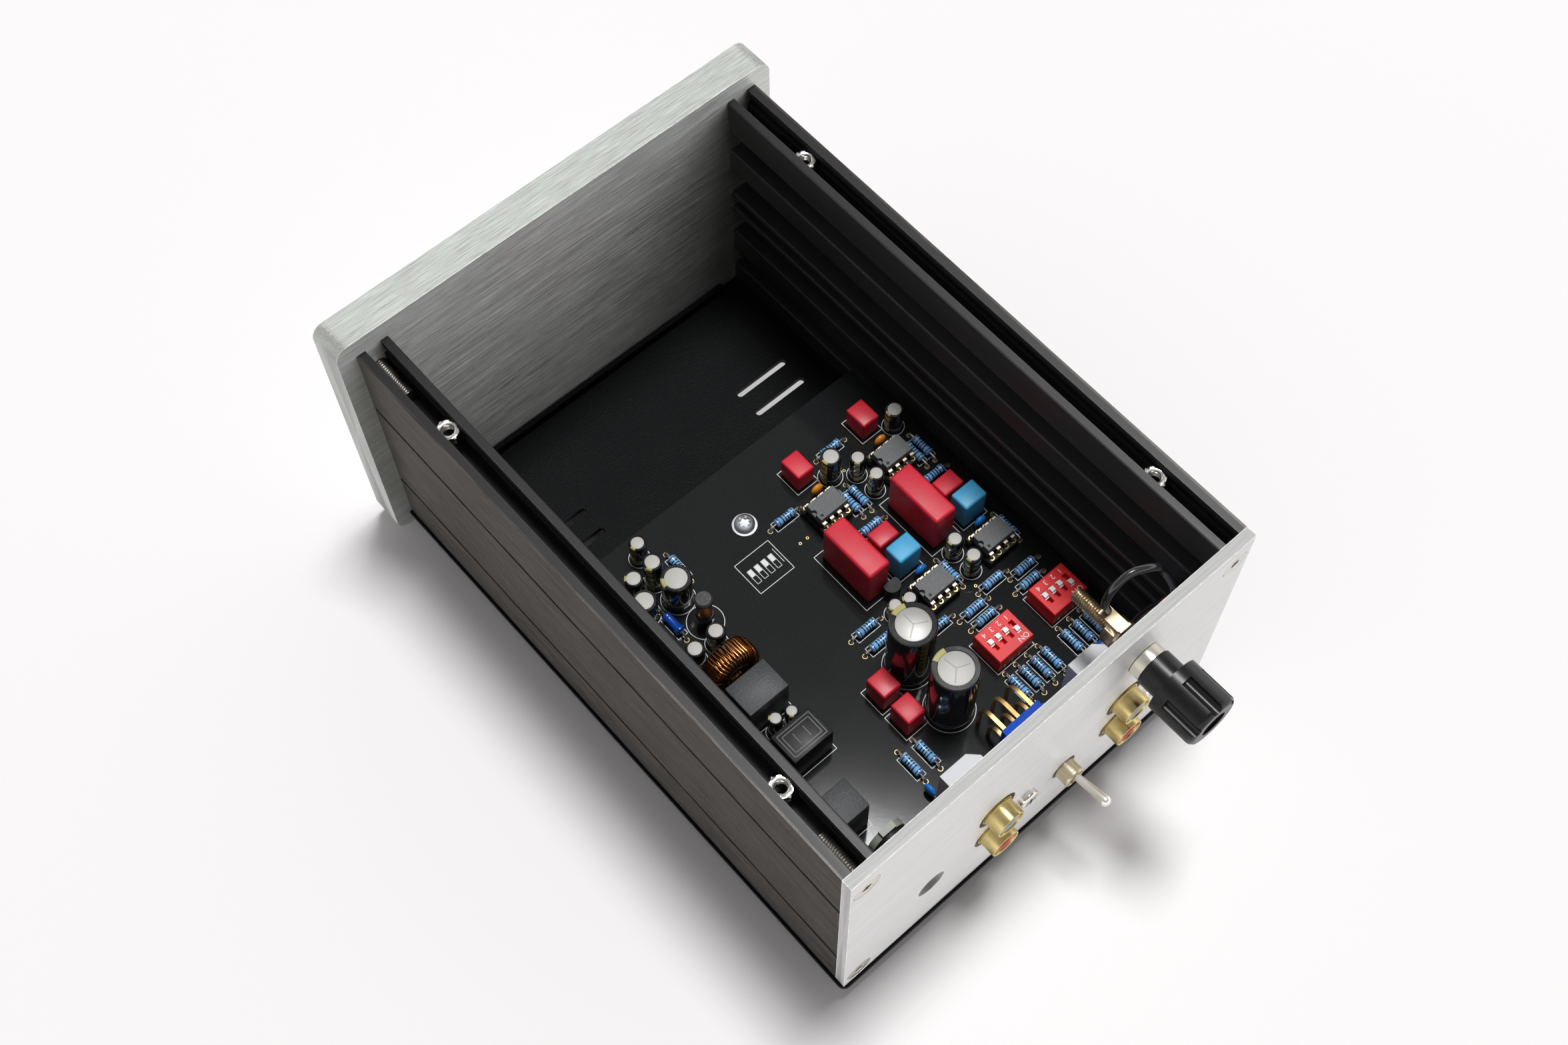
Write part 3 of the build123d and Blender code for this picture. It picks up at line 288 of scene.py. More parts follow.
def profileSkin():
    look = {
        "brushed": (0.090, 0.086, 0.081), "inside": (0.052, 0.052, 0.053, 1.0), "contrast": 0.6,
        "rim": (0.59, 0.57, 0.55, 1.0), "stretch": (2600.0, 75.0, 2600.0), "outerFace": 0.0613,
        "depth": 0.00013,
    }
    material, tree, shader, spot = startMaterial("profileSkin")
    dark, light = 1 - look["contrast"], 1 + look["contrast"]
    grain = useGroup(tree, brushGrain, Place=spot, Stretch=look["stretch"])
    aside = maths(tree, "ABSOLUTE", parts(tree, spot)[0])
    # only the outer faces are brushed
    outer = remap(tree, aside, look["outerFace"], look["outerFace"] + 0.0002)
    streaked = shades(tree, grain["Streak"], look["brushed"], dark, light)
    base = blendColour(tree, outer, look["inside"], streaked)
    # sharp edges lightened: painted highlight
    mask = useGroup(tree, edgeRub, Width=0.00035, Place=spot)["Mask"]
    base = blendColour(tree, times(tree, mask, 0.6), base, tint(look["brushed"], 1.5))
    outerRough = times(tree, outer, between(tree, grain["Streak"], 0.32, 0.55))
    insideRough = between(tree, grain["Cloud"], 0.46, 0.54)
    rough = plus(tree, outerRough, times(tree, maths(tree, "SUBTRACT", 1.0, outer), insideRough))
    plain = {"Metallic": 1.0, "Anisotropic": 0.7, "Tangent": stretchedGloss(tree, "Y")}
    plain["Specular Tint"] = look["rim"]
    height = times(tree, grain["Streak"], between(tree, outer, 0.05, 1.0))
    setSurface(tree, shader, base, rough, plain, height, 0.35, look["depth"])
    return material


def pieceMap(tree):  # the piece's own map, as addLathe lays it
    across, along, _ = parts(tree, shade(tree, "UVMap", uv_map="UVMap").outputs[0])
    return across, along


def resistorBands():
    blue, black, brown = (0.15, 0.44, 0.82), (0.01, 0.01, 0.012, 1.0), (0.12, 0.03, 0.02, 1.0)
    look = {
        "half": 0.16,
        "bands": [(-2.4, brown), (-1.35, black), (-0.55, black), (0.25, brown), (1.1, black), (2.4, brown)],
    }
    material, tree, shader, spot = startMaterial("resistorBands")
    along = pieceMap(tree)[1]
    skin = useGroup(tree, skinGrain, Place=spot, Grain=2500.0)
    base = shades(tree, skin["Patch"], blue, 0.85, 1.15)
    for where, colour in look["bands"]:
        band = remap(tree, offFrom(tree, along, where), look["half"] + 0.04, look["half"])
        base = blendColour(tree, band, base, colour)
    rough = between(tree, skin["Patch"], 0.16, 0.26)
    setSurface(tree, shader, base, rough, {"Coat Weight": 0.4}, skin["Height"], 0.25, 0.00001)
    return material


def capSleeve():
    look = {
        "sleeve": (0.011, 0.011, 0.013, 1.0), "print": (0.46, 0.43, 0.15, 1.0), "dust": (0.5, 0.5, 0.48, 1.0),
        "centre": 0.25, "half": 0.055, "dash": 2.6,
    }
    material, tree, shader, spot = startMaterial("capSleeve")
    around, along = pieceMap(tree)
    skin = useGroup(tree, skinGrain, Place=spot, Grain=2500.0)
    stripe = remap(tree, offFrom(tree, around, look["centre"]), look["half"] + 0.004, look["half"])
    dash = remap(tree, maths(tree, "PINGPONG", along, look["dash"] / 2), 0.25, 0.32)
    base = blendColour(tree, times(tree, stripe, dash), look["sleeve"], look["print"])
    mask = useGroup(tree, lightDust, Place=spot, Amount=0.12)["Mask"]
    base = blendColour(tree, mask, base, look["dust"])
    rough = between(tree, skin["Patch"], 0.1, 0.18)
    setSurface(tree, shader, base, rough, {"Coat Weight": 0.4}, skin["Height"], 0.2, 0.000006)
    return material


def canTop():  # the vent lines scored in the top of a large can, in shares of its radius
    look = {
        "bare": (0.38, 0.375, 0.36), "scored": (0.33, 0.33, 0.32, 1.0), "line": 0.014, "arms": [90, 215, 330],
    }
    material, tree, shader, spot = startMaterial("canTop")
    x, y = pieceMap(tree)
    skin = useGroup(tree, skinGrain, Place=spot, Grain=3500.0)
    score = 0.0
    for arm in look["arms"]:
        c, s = cos(radians(arm)), sin(radians(arm))
        off = maths(tree, "ABSOLUTE", plus(tree, times(tree, x, -s), times(tree, y, c)))
        ahead = plus(tree, times(tree, x, c), times(tree, y, s))
        line = times(tree, remap(tree, off, look["line"] * 2, look["line"]), remap(tree, ahead, -0.02, 0.0))
        score = maths(tree, "MAXIMUM", score, times(tree, line, remap(tree, ahead, 0.84, 0.8)))
    base = shades(tree, skin["Patch"], look["bare"], 0.93, 1.05)
    # the scored lines are also darkened: painted shade in the grooves
    base = blendColour(tree, times(tree, score, 0.7), base, look["scored"])
    rough = between(tree, skin["Patch"], 0.4, 0.55)
    height = maths(tree, "SUBTRACT", times(tree, skin["Height"], 0.15), score)
    setSurface(tree, shader, base, rough, {"Metallic": 0.35}, height, 0.5, 0.00012)
    return material


brushedLooks = {
    # the two silvers differ in colour: the front panel's darker, painted shade against the lamp's highlight
    # on its top, the rear panel's lighter, painted light on its face
    "panelAluminium": dict(
        colour=(0.64, 0.66, 0.635), roughness=0.47, stretch=(90.0, 4600.0, 4600.0), depth=0.00005,
        contrast=0.4, rub=0.0005, pull=0.9, roughShadedInside=False),
    "rearAluminium": dict(
        colour=(0.71, 0.71, 0.705), roughness=0.5, stretch=(45.0, 2600.0, 2600.0), depth=0.00003,
        contrast=0.14, rub=0.0004, pull=0.7, roughShadedInside=True),
}
mouldedLooks = {  # colour, roughness, and what differs from plain moulding
    "plateBlack": (
        (0.002, 0.0025, 0.003), 0.5, dict(grain=2500.0, depth=0.0011, dust=0.0, specular=0.09, spread=0.04)),
    "boardBlack": (
        (0.0125, 0.0135, 0.014), 0.09,
        dict(grain=900.0, depth=0.000006, dust=0.02, specular=0.28, spread=0.03)),
    "footRubber": ((0.03, 0.03, 0.03), 0.8, dict(depth=0.00003, dust=0.4)),
    "filmRed": ((0.62, 0.018, 0.04), 0.42, dict(grain=2600.0, depth=0.00004, specular=0.35)),
    "filmBlue": ((0.06, 0.38, 0.66), 0.42, dict(depth=0.00003, specular=0.35)),
    "fuseBlue": ((0.004, 0.05, 0.33), 0.2, dict(grain=2500.0, coat=0.4)),
    "dippedBlue": ((0.02, 0.2, 0.62), 0.15, dict(grain=1500.0, coat=0.6)),
    "dippedOrange": ((0.75, 0.28, 0.02), 0.15, dict(grain=1500.0, coat=0.6)),
    "plasticBlack": ((0.01, 0.01, 0.011), 0.45, dict(grain=3500.0, depth=0.00005, dust=0.06, specular=0.22)),
    "chipBlack": ((0.085, 0.092, 0.098), 0.5, dict(grain=5000.0, depth=0.00002, dust=0.2)),
    "blockBlack": ((0.032, 0.034, 0.037), 0.5, dict(grain=1600.0, depth=0.00025, dust=0.12)),
    "knobBlack": ((0.006, 0.006, 0.0065), 0.33, dict(grain=3500.0, depth=0.00004, dust=0.03, specular=0.3)),
    "wireBlack": ((0.012, 0.012, 0.014), 0.22, dict(grain=2500.0, coat=0.3)),
    "ferrite": ((0.03, 0.03, 0.033), 0.55, dict(grain=2500.0, depth=0.00005, dust=0.2)),
    "switchRed": ((0.72, 0.008, 0.014), 0.35, dict(dust=0.03, specular=0.3)),
    "switchBlue": ((0.004, 0.07, 0.50), 0.55, dict(dust=0.02, specular=0.12)),
    "sliderWhite": ((0.80, 0.80, 0.79), 0.3, dict(dust=0.0, coat=0.2, spread=0.04)),
    "socketWhite": ((0.64, 0.65, 0.67), 0.45, dict(dust=0.0, specular=0.25, spread=0.04)),
    "socketRed": ((0.68, 0.02, 0.012), 0.3, dict(dust=0.0, coat=0.2)),
    "terminalBlue": ((0.01, 0.09, 0.42), 0.35, {}),
    "bracketGrey": ((0.25, 0.27, 0.23), 0.45, dict(depth=0.00002, dust=0.2)),
    "canTopPlain": (
        (0.50, 0.49, 0.46), 0.45, dict(grain=3500.0, depth=0.00003, dust=0.0, specular=0.3, spread=0.05)),
    "legendWhite": ((0.74, 0.75, 0.76), 0.5, dict(depth=0.000004, dust=0.0, spread=0.06)),
}
platedLooks = {  # colour and roughness
    "zincSteel": ((0.80, 0.78, 0.74), 0.2), "screwSteel": ((0.62, 0.60, 0.55), 0.28),
    "washerSteel": ((0.60, 0.62, 0.65), 0.55), "threadSteel": ((0.30, 0.285, 0.26), 0.4),
    "goldPlate": ((0.60, 0.48, 0.21), 0.26), "padGold": ((0.44, 0.36, 0.19), 0.35),
    "terminalGold": ((0.50, 0.34, 0.14), 0.42), "copperWire": ((0.30, 0.125, 0.045), 0.22),
    # drumCopper is a lighter copy of the winding copper: painted light against the shade on the drum's coil
    "drumCopper": ((0.66, 0.29, 0.12), 0.4), "nickelPlate": ((0.70, 0.66, 0.58), 0.2),
    "brassNickel": ((0.47, 0.38, 0.26), 0.32), "leverNickel": ((0.80, 0.79, 0.73), 0.3),
    "bushingBrass": ((0.60, 0.53, 0.39), 0.3), "legTin": ((0.50, 0.43, 0.37), 0.36),
    "solderTin": ((0.60, 0.54, 0.47), 0.42), "tinnedWire": ((0.76, 0.75, 0.73), 0.24),
}
finishes = {name: brushedMetal(name, **look) for name, look in brushedLooks.items()}
for name, (colour, roughness, more) in mouldedLooks.items():
    finishes[name] = moulded(name, colour, roughness, **more)
for name, (colour, roughness) in platedLooks.items():
    finishes[name] = plated(name, colour, roughness)
finishes["profileBlack"] = profileSkin()
finishes["resistorBands"] = resistorBands()
finishes["capSleeve"] = capSleeve()
finishes["canTop"] = canTop()

# the nodes that stay as the frame has them; sliders are white, and what isn't named is zinc plated
nodeFinish = {
    "front_panel": "panelAluminium", "rear_panel": "rearAluminium", "bottom_plate": "plateBlack",
    "side_profile_left": "profileBlack", "side_profile_right": "profileBlack", "rubber_feet": "footRubber",
    "circuit_board": "boardBlack", "board_standoffs": "nickelPlate", "transistor": "plasticBlack",
    "dip_switch_bodies": "switchRed", "toroid_core": "ferrite", "signal_socket_housings": "socketWhite",
    "power_socket": "plasticBlack", "power_socket_bracket": "bracketGrey", "toggle_body": "switchBlue",
    "toggle_base": "switchBlue", "toggle_terminals": "terminalGold", "ground_tag": "brassNickel",
    "ground_sleeve": "nickelPlate", "ground_knob": "knobBlack", "ground_terminal": "terminalBlue",
    "ground_wire": "wireBlack",
}
for name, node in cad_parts.items():
    wanted = nodeFinish.get(name, "sliderWhite" if name.startswith("dip_slider") else "zincSteel")
    node.data.materials.clear()
    node.data.materials.append(finishes[wanted])
print("finishes set on the case, board and sockets")


# shapes, all in millimetres; placeMesh brings the result to metres
def toMesh(name, bm, recalc=True):
    if recalc:
        bmesh.ops.recalc_face_normals(bm, faces=bm.faces)
    mesh = bpy.data.meshes.new(name)
    bm.to_mesh(mesh)
    bm.free()
    return mesh


def placeMesh(name, mesh, slot, body="case", replaces=(), smooth=32, spot=Matrix()):
    mesh.transform(Matrix.Scale(mm, 4) @ spot)
    mesh.shade_smooth()
    mesh.set_sharp_from_angle(angle=radians(smooth))
    piece = bpy.data.objects.new(name, mesh)
    bpy.context.scene.collection.objects.link(piece)
    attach(piece, body)
    if replaces:
        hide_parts(*replaces)


def place(name, bm, finish, slot, recalc=True, **how):
    mesh = toMesh(name, bm, recalc)
    mesh.materials.append(finishes[finish])
    placeMesh(name, mesh, slot, **how)


def turnedAt(spot, turn, axis="Z"):
    return Matrix.Translation(spot) @ Matrix.Rotation(turn, 4, axis)


def alongY(x, y, z, turn=-quarter):  # local Z points to the rear, or to the front when turned the other way
    return turnedAt((x, y, z), turn, "X")


def circle(steps):
    turns = [2 * pi * i / steps for i in range(steps)]
    return [(cos(t), sin(t)) for t in turns]


def joinRings(bm, rings, closed=False):  # walls between rings of as many vertices; an open row is capped
    for first, second in zip(rings, rings[1:] + rings[:1] if closed else rings[1:]):
        for i in range(len(first)):
            j = (i + 1) % len(first)
            bm.faces.new([first[i], first[j], second[j], second[i]])
    if not closed:
        bm.faces.new(list(reversed(rings[0])))
        bm.faces.new(rings[-1])


def addLoft(bm, loops, closed=False):
    joinRings(bm, [[bm.verts.new(point) for point in loop] for loop in loops], closed)


def addBox(bm, centre, size, bevel, segments=1):
    spot = Matrix.Translation(centre) @ Matrix.Diagonal((*size, 1.0))
    made = bmesh.ops.create_cube(bm, size=1.0, matrix=spot)
    edges = list({edge for vert in made["verts"] for edge in vert.link_edges})
    bmesh.ops.bevel(bm, geom=edges, offset=bevel, segments=segments, affect="EDGES", profile=0.5)


def addLathe(bm, profile, spot=Matrix(), steps=32, closed=False, uv=False, flat=0.0):
    layers = bm.loops.layers.uv
    layer = (layers.get("UVMap") or layers.new("UVMap")) if uv or flat else None
    back = spot.inverted()
    rings = []
    for radius, height in profile:  # a point on the axis is one vertex
        around = circle(steps) if radius > 1e-6 else [(0, 0)]
        rings.append([bm.verts.new(spot @ Vector((radius * c, radius * s, height))) for c, s in around])
    for row in range(len(rings) if closed else len(rings) - 1):
        low, high = rings[row], rings[(row + 1) % len(rings)]
        for i in range(steps):
            j = (i + 1) % steps
            corners = [low[i % len(low)], low[j % len(low)], high[j % len(high)], high[i % len(high)]]
            near, far = i / steps, j / steps or 1.0
            marks = [(near, row), (far, row), (far, row + 1), (near, row + 1)]
            kept = [k for k in range(4) if corners[k] not in corners[:k]]
            face = bm.faces.new([corners[k] for k in kept])
            for loop, k in zip(face.loops, kept):
                if flat:  # seen from above, a unit circle
                    seen = back @ loop.vert.co
                    loop[layer].uv = (seen.x / flat, seen.y / flat)
                elif uv:  # share of a turn round the axis, and height in millimetres
                    loop[layer].uv = (marks[k][0], profile[marks[k][1] % len(profile)][1])


def lathed(profile, *where, **how):
    bm = bmesh.new()
    addLathe(bm, profile, *where, **how)
    return bm


def bend(points, radius, steps=4):  # a route with its corners rounded
    points = [Vector(p) for p in points]
    route = [points[0]]
    for before, corner, after in zip(points, points[1:], points[2:]):
        start = corner + (before - corner).normalized() * radius
        end = corner + (after - corner).normalized() * radius
        for i in range(steps + 1):
            t = i / steps
            route.append(start * (1 - t) ** 2 + corner * 2 * t * (1 - t) + end * t ** 2)
    return route + [points[-1]]


def addTube(bm, points, radius, steps=8):
    side = (points[1] - points[0]).normalized().orthogonal().normalized()
    rings = []
    for i, point in enumerate(points):
        ahead = (points[min(i + 1, len(points) - 1)] - points[max(i - 1, 0)]).normalized()
        side = (side - ahead * side.dot(ahead)).normalized()
        other = ahead.cross(side)
        rings.append([bm.verts.new(point + radius * (c * side + s * other)) for c, s in circle(steps)])
    joinRings(bm, rings)


def hexAt(angle, width):  # from the middle of a hexagon to its side; the width is across the flats
    step = pi / 3
    return width / 2 / cos((angle + step / 2) % step - step / 2)


def roundLoop(spot, height, shape, count=36, turn=0.0):  # shape is a radius, or gives one for each angle
    loop = []
    for angle in (2 * pi * i / count for i in range(count)):
        radius = shape(angle) if callable(shape) else shape
        loop.append(spot @ Vector((radius * cos(angle + turn), radius * sin(angle + turn), height)))
    return loop


def addStrip(bm, first, second, width, z=inkTop):
    a, b = Vector((*first, 0)), Vector((*second, 0))
    side = (b - a).normalized().cross(Vector((0, 0, 1))) * width / 2
    bm.faces.new([bm.verts.new((p.x, p.y, z)) for p in (a + side, b + side, b - side, a - side)])


def addOutline(bm, x, y, width, depth, line=0.18, z=inkTop):
    left, right, near, far = x - width / 2, x + width / 2, y - depth / 2, y + depth / 2
    for edge in (near, far):
        addStrip(bm, (left - line / 2, edge), (right + line / 2, edge), line, z)
    for edge in (left, right):
        addStrip(bm, (edge, near), (edge, far), line, z)


def addCircle(bm, x, y, radius, line=0.18, start=0.0, end=360.0):
    steps = max(8, int((end - start) / 9))
    inner, outer = [], []
    for i in range(steps + 1):
        t = radians(start + (end - start) * i / steps)
        for row, r in ((inner, radius - line / 2), (outer, radius + line / 2)):
            row.append(bm.verts.new((x + r * cos(t), y + r * sin(t), inkTop)))
    for i in range(steps):
        bm.faces.new([inner[i], outer[i], outer[i + 1], inner[i + 1]])


# geometry node trees
def geo(tree, kind, inputs=None, **settings):
    return addNode(tree, "GeometryNode" + kind, inputs, **settings).outputs[0]


def startShape(name, inputs):
    sockets = {"Geometry": "NodeSocketGeometry", **inputs, "Finish": "NodeSocketMaterial"}
    return startTree("GeometryNodeTree", name, sockets, {"Geometry": "NodeSocketGeometry"})


def endShape(tree, ins, outs, geometry):
    realized = geo(tree, "RealizeInstances", {0: geometry})
    tree.links.new(geo(tree, "SetMaterial", {0: realized, "Material": ins["Finish"]}), outs[0])
    return tree


def turnTo(tree, euler):
    return addNode(tree, "FunctionNodeEulerToRotation", {0: euler}).outputs[0]


def copyPartTree():  # copies of one small part, set on points that carry a turn and a size
    tree, ins, outs = startShape("copyPart", {"Part": "NodeSocketObject"})
    part = addNode(tree, "GeometryNodeObjectInfo", {"Object": ins["Part"]}).outputs["Geometry"]
    turn = geo(tree, "InputNamedAttribute", {"Name": "turn"}, data_type="FLOAT_VECTOR")
    size = geo(tree, "InputNamedAttribute", {"Name": "size"}, data_type="FLOAT_VECTOR")
    points = geo(tree, "MeshToPoints", {"Mesh": ins["Geometry"]})
    inputs = {"Points": points, "Instance": part, "Rotation": turnTo(tree, turn), "Scale": size}
    return endShape(tree, ins, outs, geo(tree, "InstanceOnPoints", inputs))


def rodThreadTree():  # a cut thread on a rod along Z
    inputs = {"Radius": 2.0, "Length": 10.0, "Pitch": 0.7, "Depth": 0.35, "Rows": 100}
    tree, ins, outs = startShape("rodThread", inputs)
    inputs = {"Vertices": 24, "Radius": ins["Radius"], "Depth": ins["Length"], "Side Segments": ins["Rows"]}
    rod = geo(tree, "MeshCylinder", inputs)
    x, y, z = parts(tree, geo(tree, "InputPosition"))
    angle = maths(tree, "DIVIDE", maths(tree, "ARCTAN2", y, x), 2 * pi)
    phase = maths(tree, "SUBTRACT", maths(tree, "DIVIDE", z, ins["Pitch"]), angle)
    wave = maths(tree, "PINGPONG", maths(tree, "FRACT", phase), 0.5)
    cut = times(tree, times(tree, wave, ins["Depth"]), -2.0)
    flat = shade(tree, "CombineXYZ", {0: x, 1: y}).outputs[0]
    outward = vectorMaths(tree, "NORMALIZE", {0: flat})
    shift = vectorMaths(tree, "SCALE", {0: outward, "Scale": cut})
    return endShape(tree, ins, outs, geo(tree, "SetPosition", {"Geometry": rod, "Offset": shift}))


def wireAlong(tree, curve, radius, caps=False):
    section = geo(tree, "CurvePrimitiveCircle", {"Resolution": 6, "Radius": radius})
    return geo(tree, "CurveToMesh", {"Curve": curve, "Profile Curve": section, "Fill Caps": caps})


def ringWindingTree():  # wire turns round a ring of rounded section; the ring's axis is Z
    slack = 0.05  # turns are laid this far off an even spacing
    inputs = {
        "Turns": 40, "Ring Radius": 4.9, "Depth": 4.0, "Width": 6.0, "Corner": 1.5, "Wire": 0.35,
        "Lean": 0.12, "Phase": 0.0, "Seed": 3,
    }
    tree, ins, outs = startShape("ringWinding", inputs)
    loop = geo(tree, "CurvePrimitiveQuadrilateral", {"Width": ins["Depth"], "Height": ins["Width"]})
    loop = geo(tree, "FilletCurve", {"Curve": loop, "Radius": ins["Corner"], "Count": 4}, mode="POLY")
    upright = geo(tree, "Transform", {"Geometry": loop, "Rotation": (quarter, 0.0, 0.0)})
    dots = geo(tree, "MeshCircle", {"Vertices": ins["Turns"], "Radius": ins["Ring Radius"]})
    index = geo(tree, "InputIndex")
    heading = times(tree, maths(tree, "DIVIDE", index, ins["Turns"]), 2 * pi)
    inputs = {2: -slack, 3: slack, "ID": index, "Seed": ins["Seed"]}
    wobble = addNode(tree, "FunctionNodeRandomValue", inputs, data_type="FLOAT").outputs[1]
    lean, heading = plus(tree, wobble, ins["Lean"]), plus(tree, heading, wobble)
    facing = turnTo(tree, shade(tree, "CombineXYZ", {0: lean, 2: heading}).outputs[0])
    turns = geo(tree, "InstanceOnPoints", {"Points": dots, "Instance": upright, "Rotation": facing})
    turns = geo(tree, "RealizeInstances", {0: turns})
    phase = shade(tree, "CombineXYZ", {2: ins["Phase"]}).outputs[0]
    turned = geo(tree, "Transform", {"Geometry": turns, "Rotation": phase})
    return endShape(tree, ins, outs, wireAlong(tree, turned, ins["Wire"]))


def postCoilTree():  # a close coil of wire round a post along Z
    inputs = {"Turns": 12.0, "Radius": 1.8, "Height": 6.0, "Wire": 0.25}
    tree, ins, outs = startShape("postCoil", inputs)
    radii = {"Start Radius": ins["Radius"], "End Radius": ins["Radius"]}
    inputs = {"Resolution": 20, "Rotations": ins["Turns"], "Height": ins["Height"], **radii}
    return endShape(tree, ins, outs, wireAlong(tree, geo(tree, "CurveSpiral", inputs), ins["Wire"], True))


copyPart, rodThread = copyPartTree(), rodThreadTree()
ringWinding, postCoil = ringWindingTree(), postCoilTree()


def grow(name, tree, finish, values, base=None):  # runs a tree once and gives back a plain mesh
    seed = bpy.data.objects.new(name + "Seed", base or bpy.data.meshes.new(name + "Seed"))
    bpy.context.scene.collection.objects.link(seed)
    modifier = seed.modifiers.new("grow", "NODES")
    modifier.node_group = tree
    values = {**values, "Finish": finishes[finish]}
    for item in tree.interface.items_tree:
        if item.in_out == "INPUT" and item.name in values:
            modifier[item.identifier] = values[item.name]
    graph = bpy.context.evaluated_depsgraph_get()
    grown = seed.evaluated_get(graph)
    mesh = bpy.data.meshes.new_from_object(grown, preserve_all_data_layers=True, depsgraph=graph)
    mesh.name = name
    seed.modifiers.clear()
    bpy.data.objects.remove(seed)
    return mesh


def copyOnPoints(name, bm, places, finish, slot, recalc=True, **how):  # places: x, y, z, turn, size
    part = bpy.data.objects.new(name + "Part", toMesh(name + "Part", bm, recalc))
    bpy.context.scene.collection.objects.link(part)
    dots = bpy.data.meshes.new(name + "Dots")
    dots.from_pydata([spot[:3] for spot in places], [], [])
    turns = dots.attributes.new("turn", "FLOAT_VECTOR", "POINT")
    sizes = dots.attributes.new("size", "FLOAT_VECTOR", "POINT")
    for i, (*_, turn, size) in enumerate(places):
        turns.data[i].vector = (0, 0, turn)
        sizes.data[i].vector = (size,) * 3
    mesh = grow(name, copyPart, finish, {"Part": part}, dots)
    bpy.data.objects.remove(part)
    placeMesh(name, mesh, slot, **how)


def spotsAt(pairs, turn=0.0, size=1.0):
    return [(*at(x, s), turn, size) for x, s in pairs]


# resistors, the thick blue fuse resistor, and the outlines printed under them
resistor = {
    "pitch": 10.16, "length": 6.2, "waist": 1.05, "end": 1.25, "rise": 1.45, "lead": 0.3, "ink": 0.16,
    "frame": (7.4, 3.0),
    "across": [
        (-42.8, 43.7), (-40.9, 39.9), (-33.8, 46.2), (-24.8, 43.7), (-25.2, 40.0), (-0.4, 57.9), (-0.4, 52.7),
        (-14.6, 46.2), (-28.6, 102.8), (-5.9, 95.2), (-44.0, 78.9), (-21.0, 78.5)],
    "along": [
        (-45.0, 20.7), (-41.2, 20.7), (-37.1, 20.7), (-29.9, 20.7), (-26.1, 20.7), (-22.2, 20.7),
        (-18.3, 20.7), (11.1, 23.4), (16.1, 23.4), (-47.5, 87.3), (-44.6, 87.3), (-24.7, 87.3),
        (-21.8, 87.3), (-47.7, 55.3), (-27.3, 55.4), (23.8, 102.9)],
}
fuse = {"spot": (35.3, 91.1), "waist": 1.2, "end": 1.5, "rise": 1.75}
resistorSpots = spotsAt(resistor["across"]) + spotsAt(resistor["along"], quarter)
fuseSpots = spotsAt([fuse["spot"]], quarter)


def resistorBody(waist, end, rise):
    half = resistor["length"] / 2
    bulge = [
        (0.0, 0.0), (waist * 0.5, 0.0), (waist * 0.9, 0.06), (end * 0.97, 0.3), (end, 0.62),
        (end * 0.97, 1.05), (waist * 1.03, 1.5), (waist, 1.8)]
    profile = [(r, z - half) for r, z in bulge] + [(r, half - z) for r, z in reversed(bulge)]
    return lathed(profile, turnedAt((0, 0, rise), quarter, "Y"), 16, uv=True)


def resistorLeads(rise):
    bm = bmesh.new()
    for side in sides:
        inner, outer = side * (resistor["length"] / 2 - 0.1), side * resistor["pitch"] / 2
        addTube(bm, bend([(inner, 0, rise), (outer, 0, rise), (outer, 0, 0.0)], 0.7, 3), resistor["lead"])
    return bm


def resistorLegend():
    bm = bmesh.new()
    width, depth = resistor["frame"]
    addOutline(bm, 0, 0, width, depth, resistor["ink"], inkLift)
    for side in sides:
        addStrip(bm, (side * width / 2, 0), (side * (width / 2 + 0.5), 0), resistor["ink"], inkLift)
    return bm


plainBody = resistorBody(resistor["waist"], resistor["end"], resistor["rise"])
copyOnPoints(
    "resistorBodies", plainBody, resistorSpots, "resistorBands", "resistor_blue", replaces=("resistors",))
copyOnPoints("resistorLeads", resistorLeads(resistor["rise"]), resistorSpots, "tinnedWire", "nickel")
allSpots = resistorSpots + fuseSpots
copyOnPoints("resistorLegend", resistorLegend(), allSpots, "legendWhite", "socket_white", recalc=False)
fuseBody = resistorBody(fuse["waist"], fuse["end"], fuse["rise"])
copyOnPoints("fuseResistorBody", fuseBody, fuseSpots, "fuseBlue", "resistor_blue")
copyOnPoints("fuseResistorLeads", resistorLeads(fuse["rise"]), fuseSpots, "tinnedWire", "nickel")
print("resistors set out")

# gold pads, and solder where a lead goes through one
pad = {
    "ring": [(0.4, 0.0), (0.4, 0.05), (0.7, 0.05), (0.74, 0.0)], "viaSize": 0.6,
    "vias": [(-4.3, 87.4), (-6.75, 87.4), (-30.5, 36.6), (-27.3, 95.9), (-29.9, 48.4), (-14.4, 36.0)],
    "bead": [(0.62, 0.03), (0.58, 0.12), (0.46, 0.26), (0.32, 0.5), (0.18, 0.72), (0.0, 0.76)],
}
padSpots = []
for x, y, z, turn, _ in allSpots:
    for side in sides:
        reach = side * resistor["pitch"] / 2
        padSpots.append((x + reach * cos(turn), y + reach * sin(turn), z, 0.0, 1.0))
viaSpots = spotsAt(pad["vias"], size=pad["viaSize"])
copyOnPoints("goldPads", lathed(pad["ring"], steps=16), padSpots + viaSpots, "padGold", "gold_plate")
copyOnPoints("solderBeads", lathed(pad["bead"], steps=12), padSpots, "solderTin", "nickel")

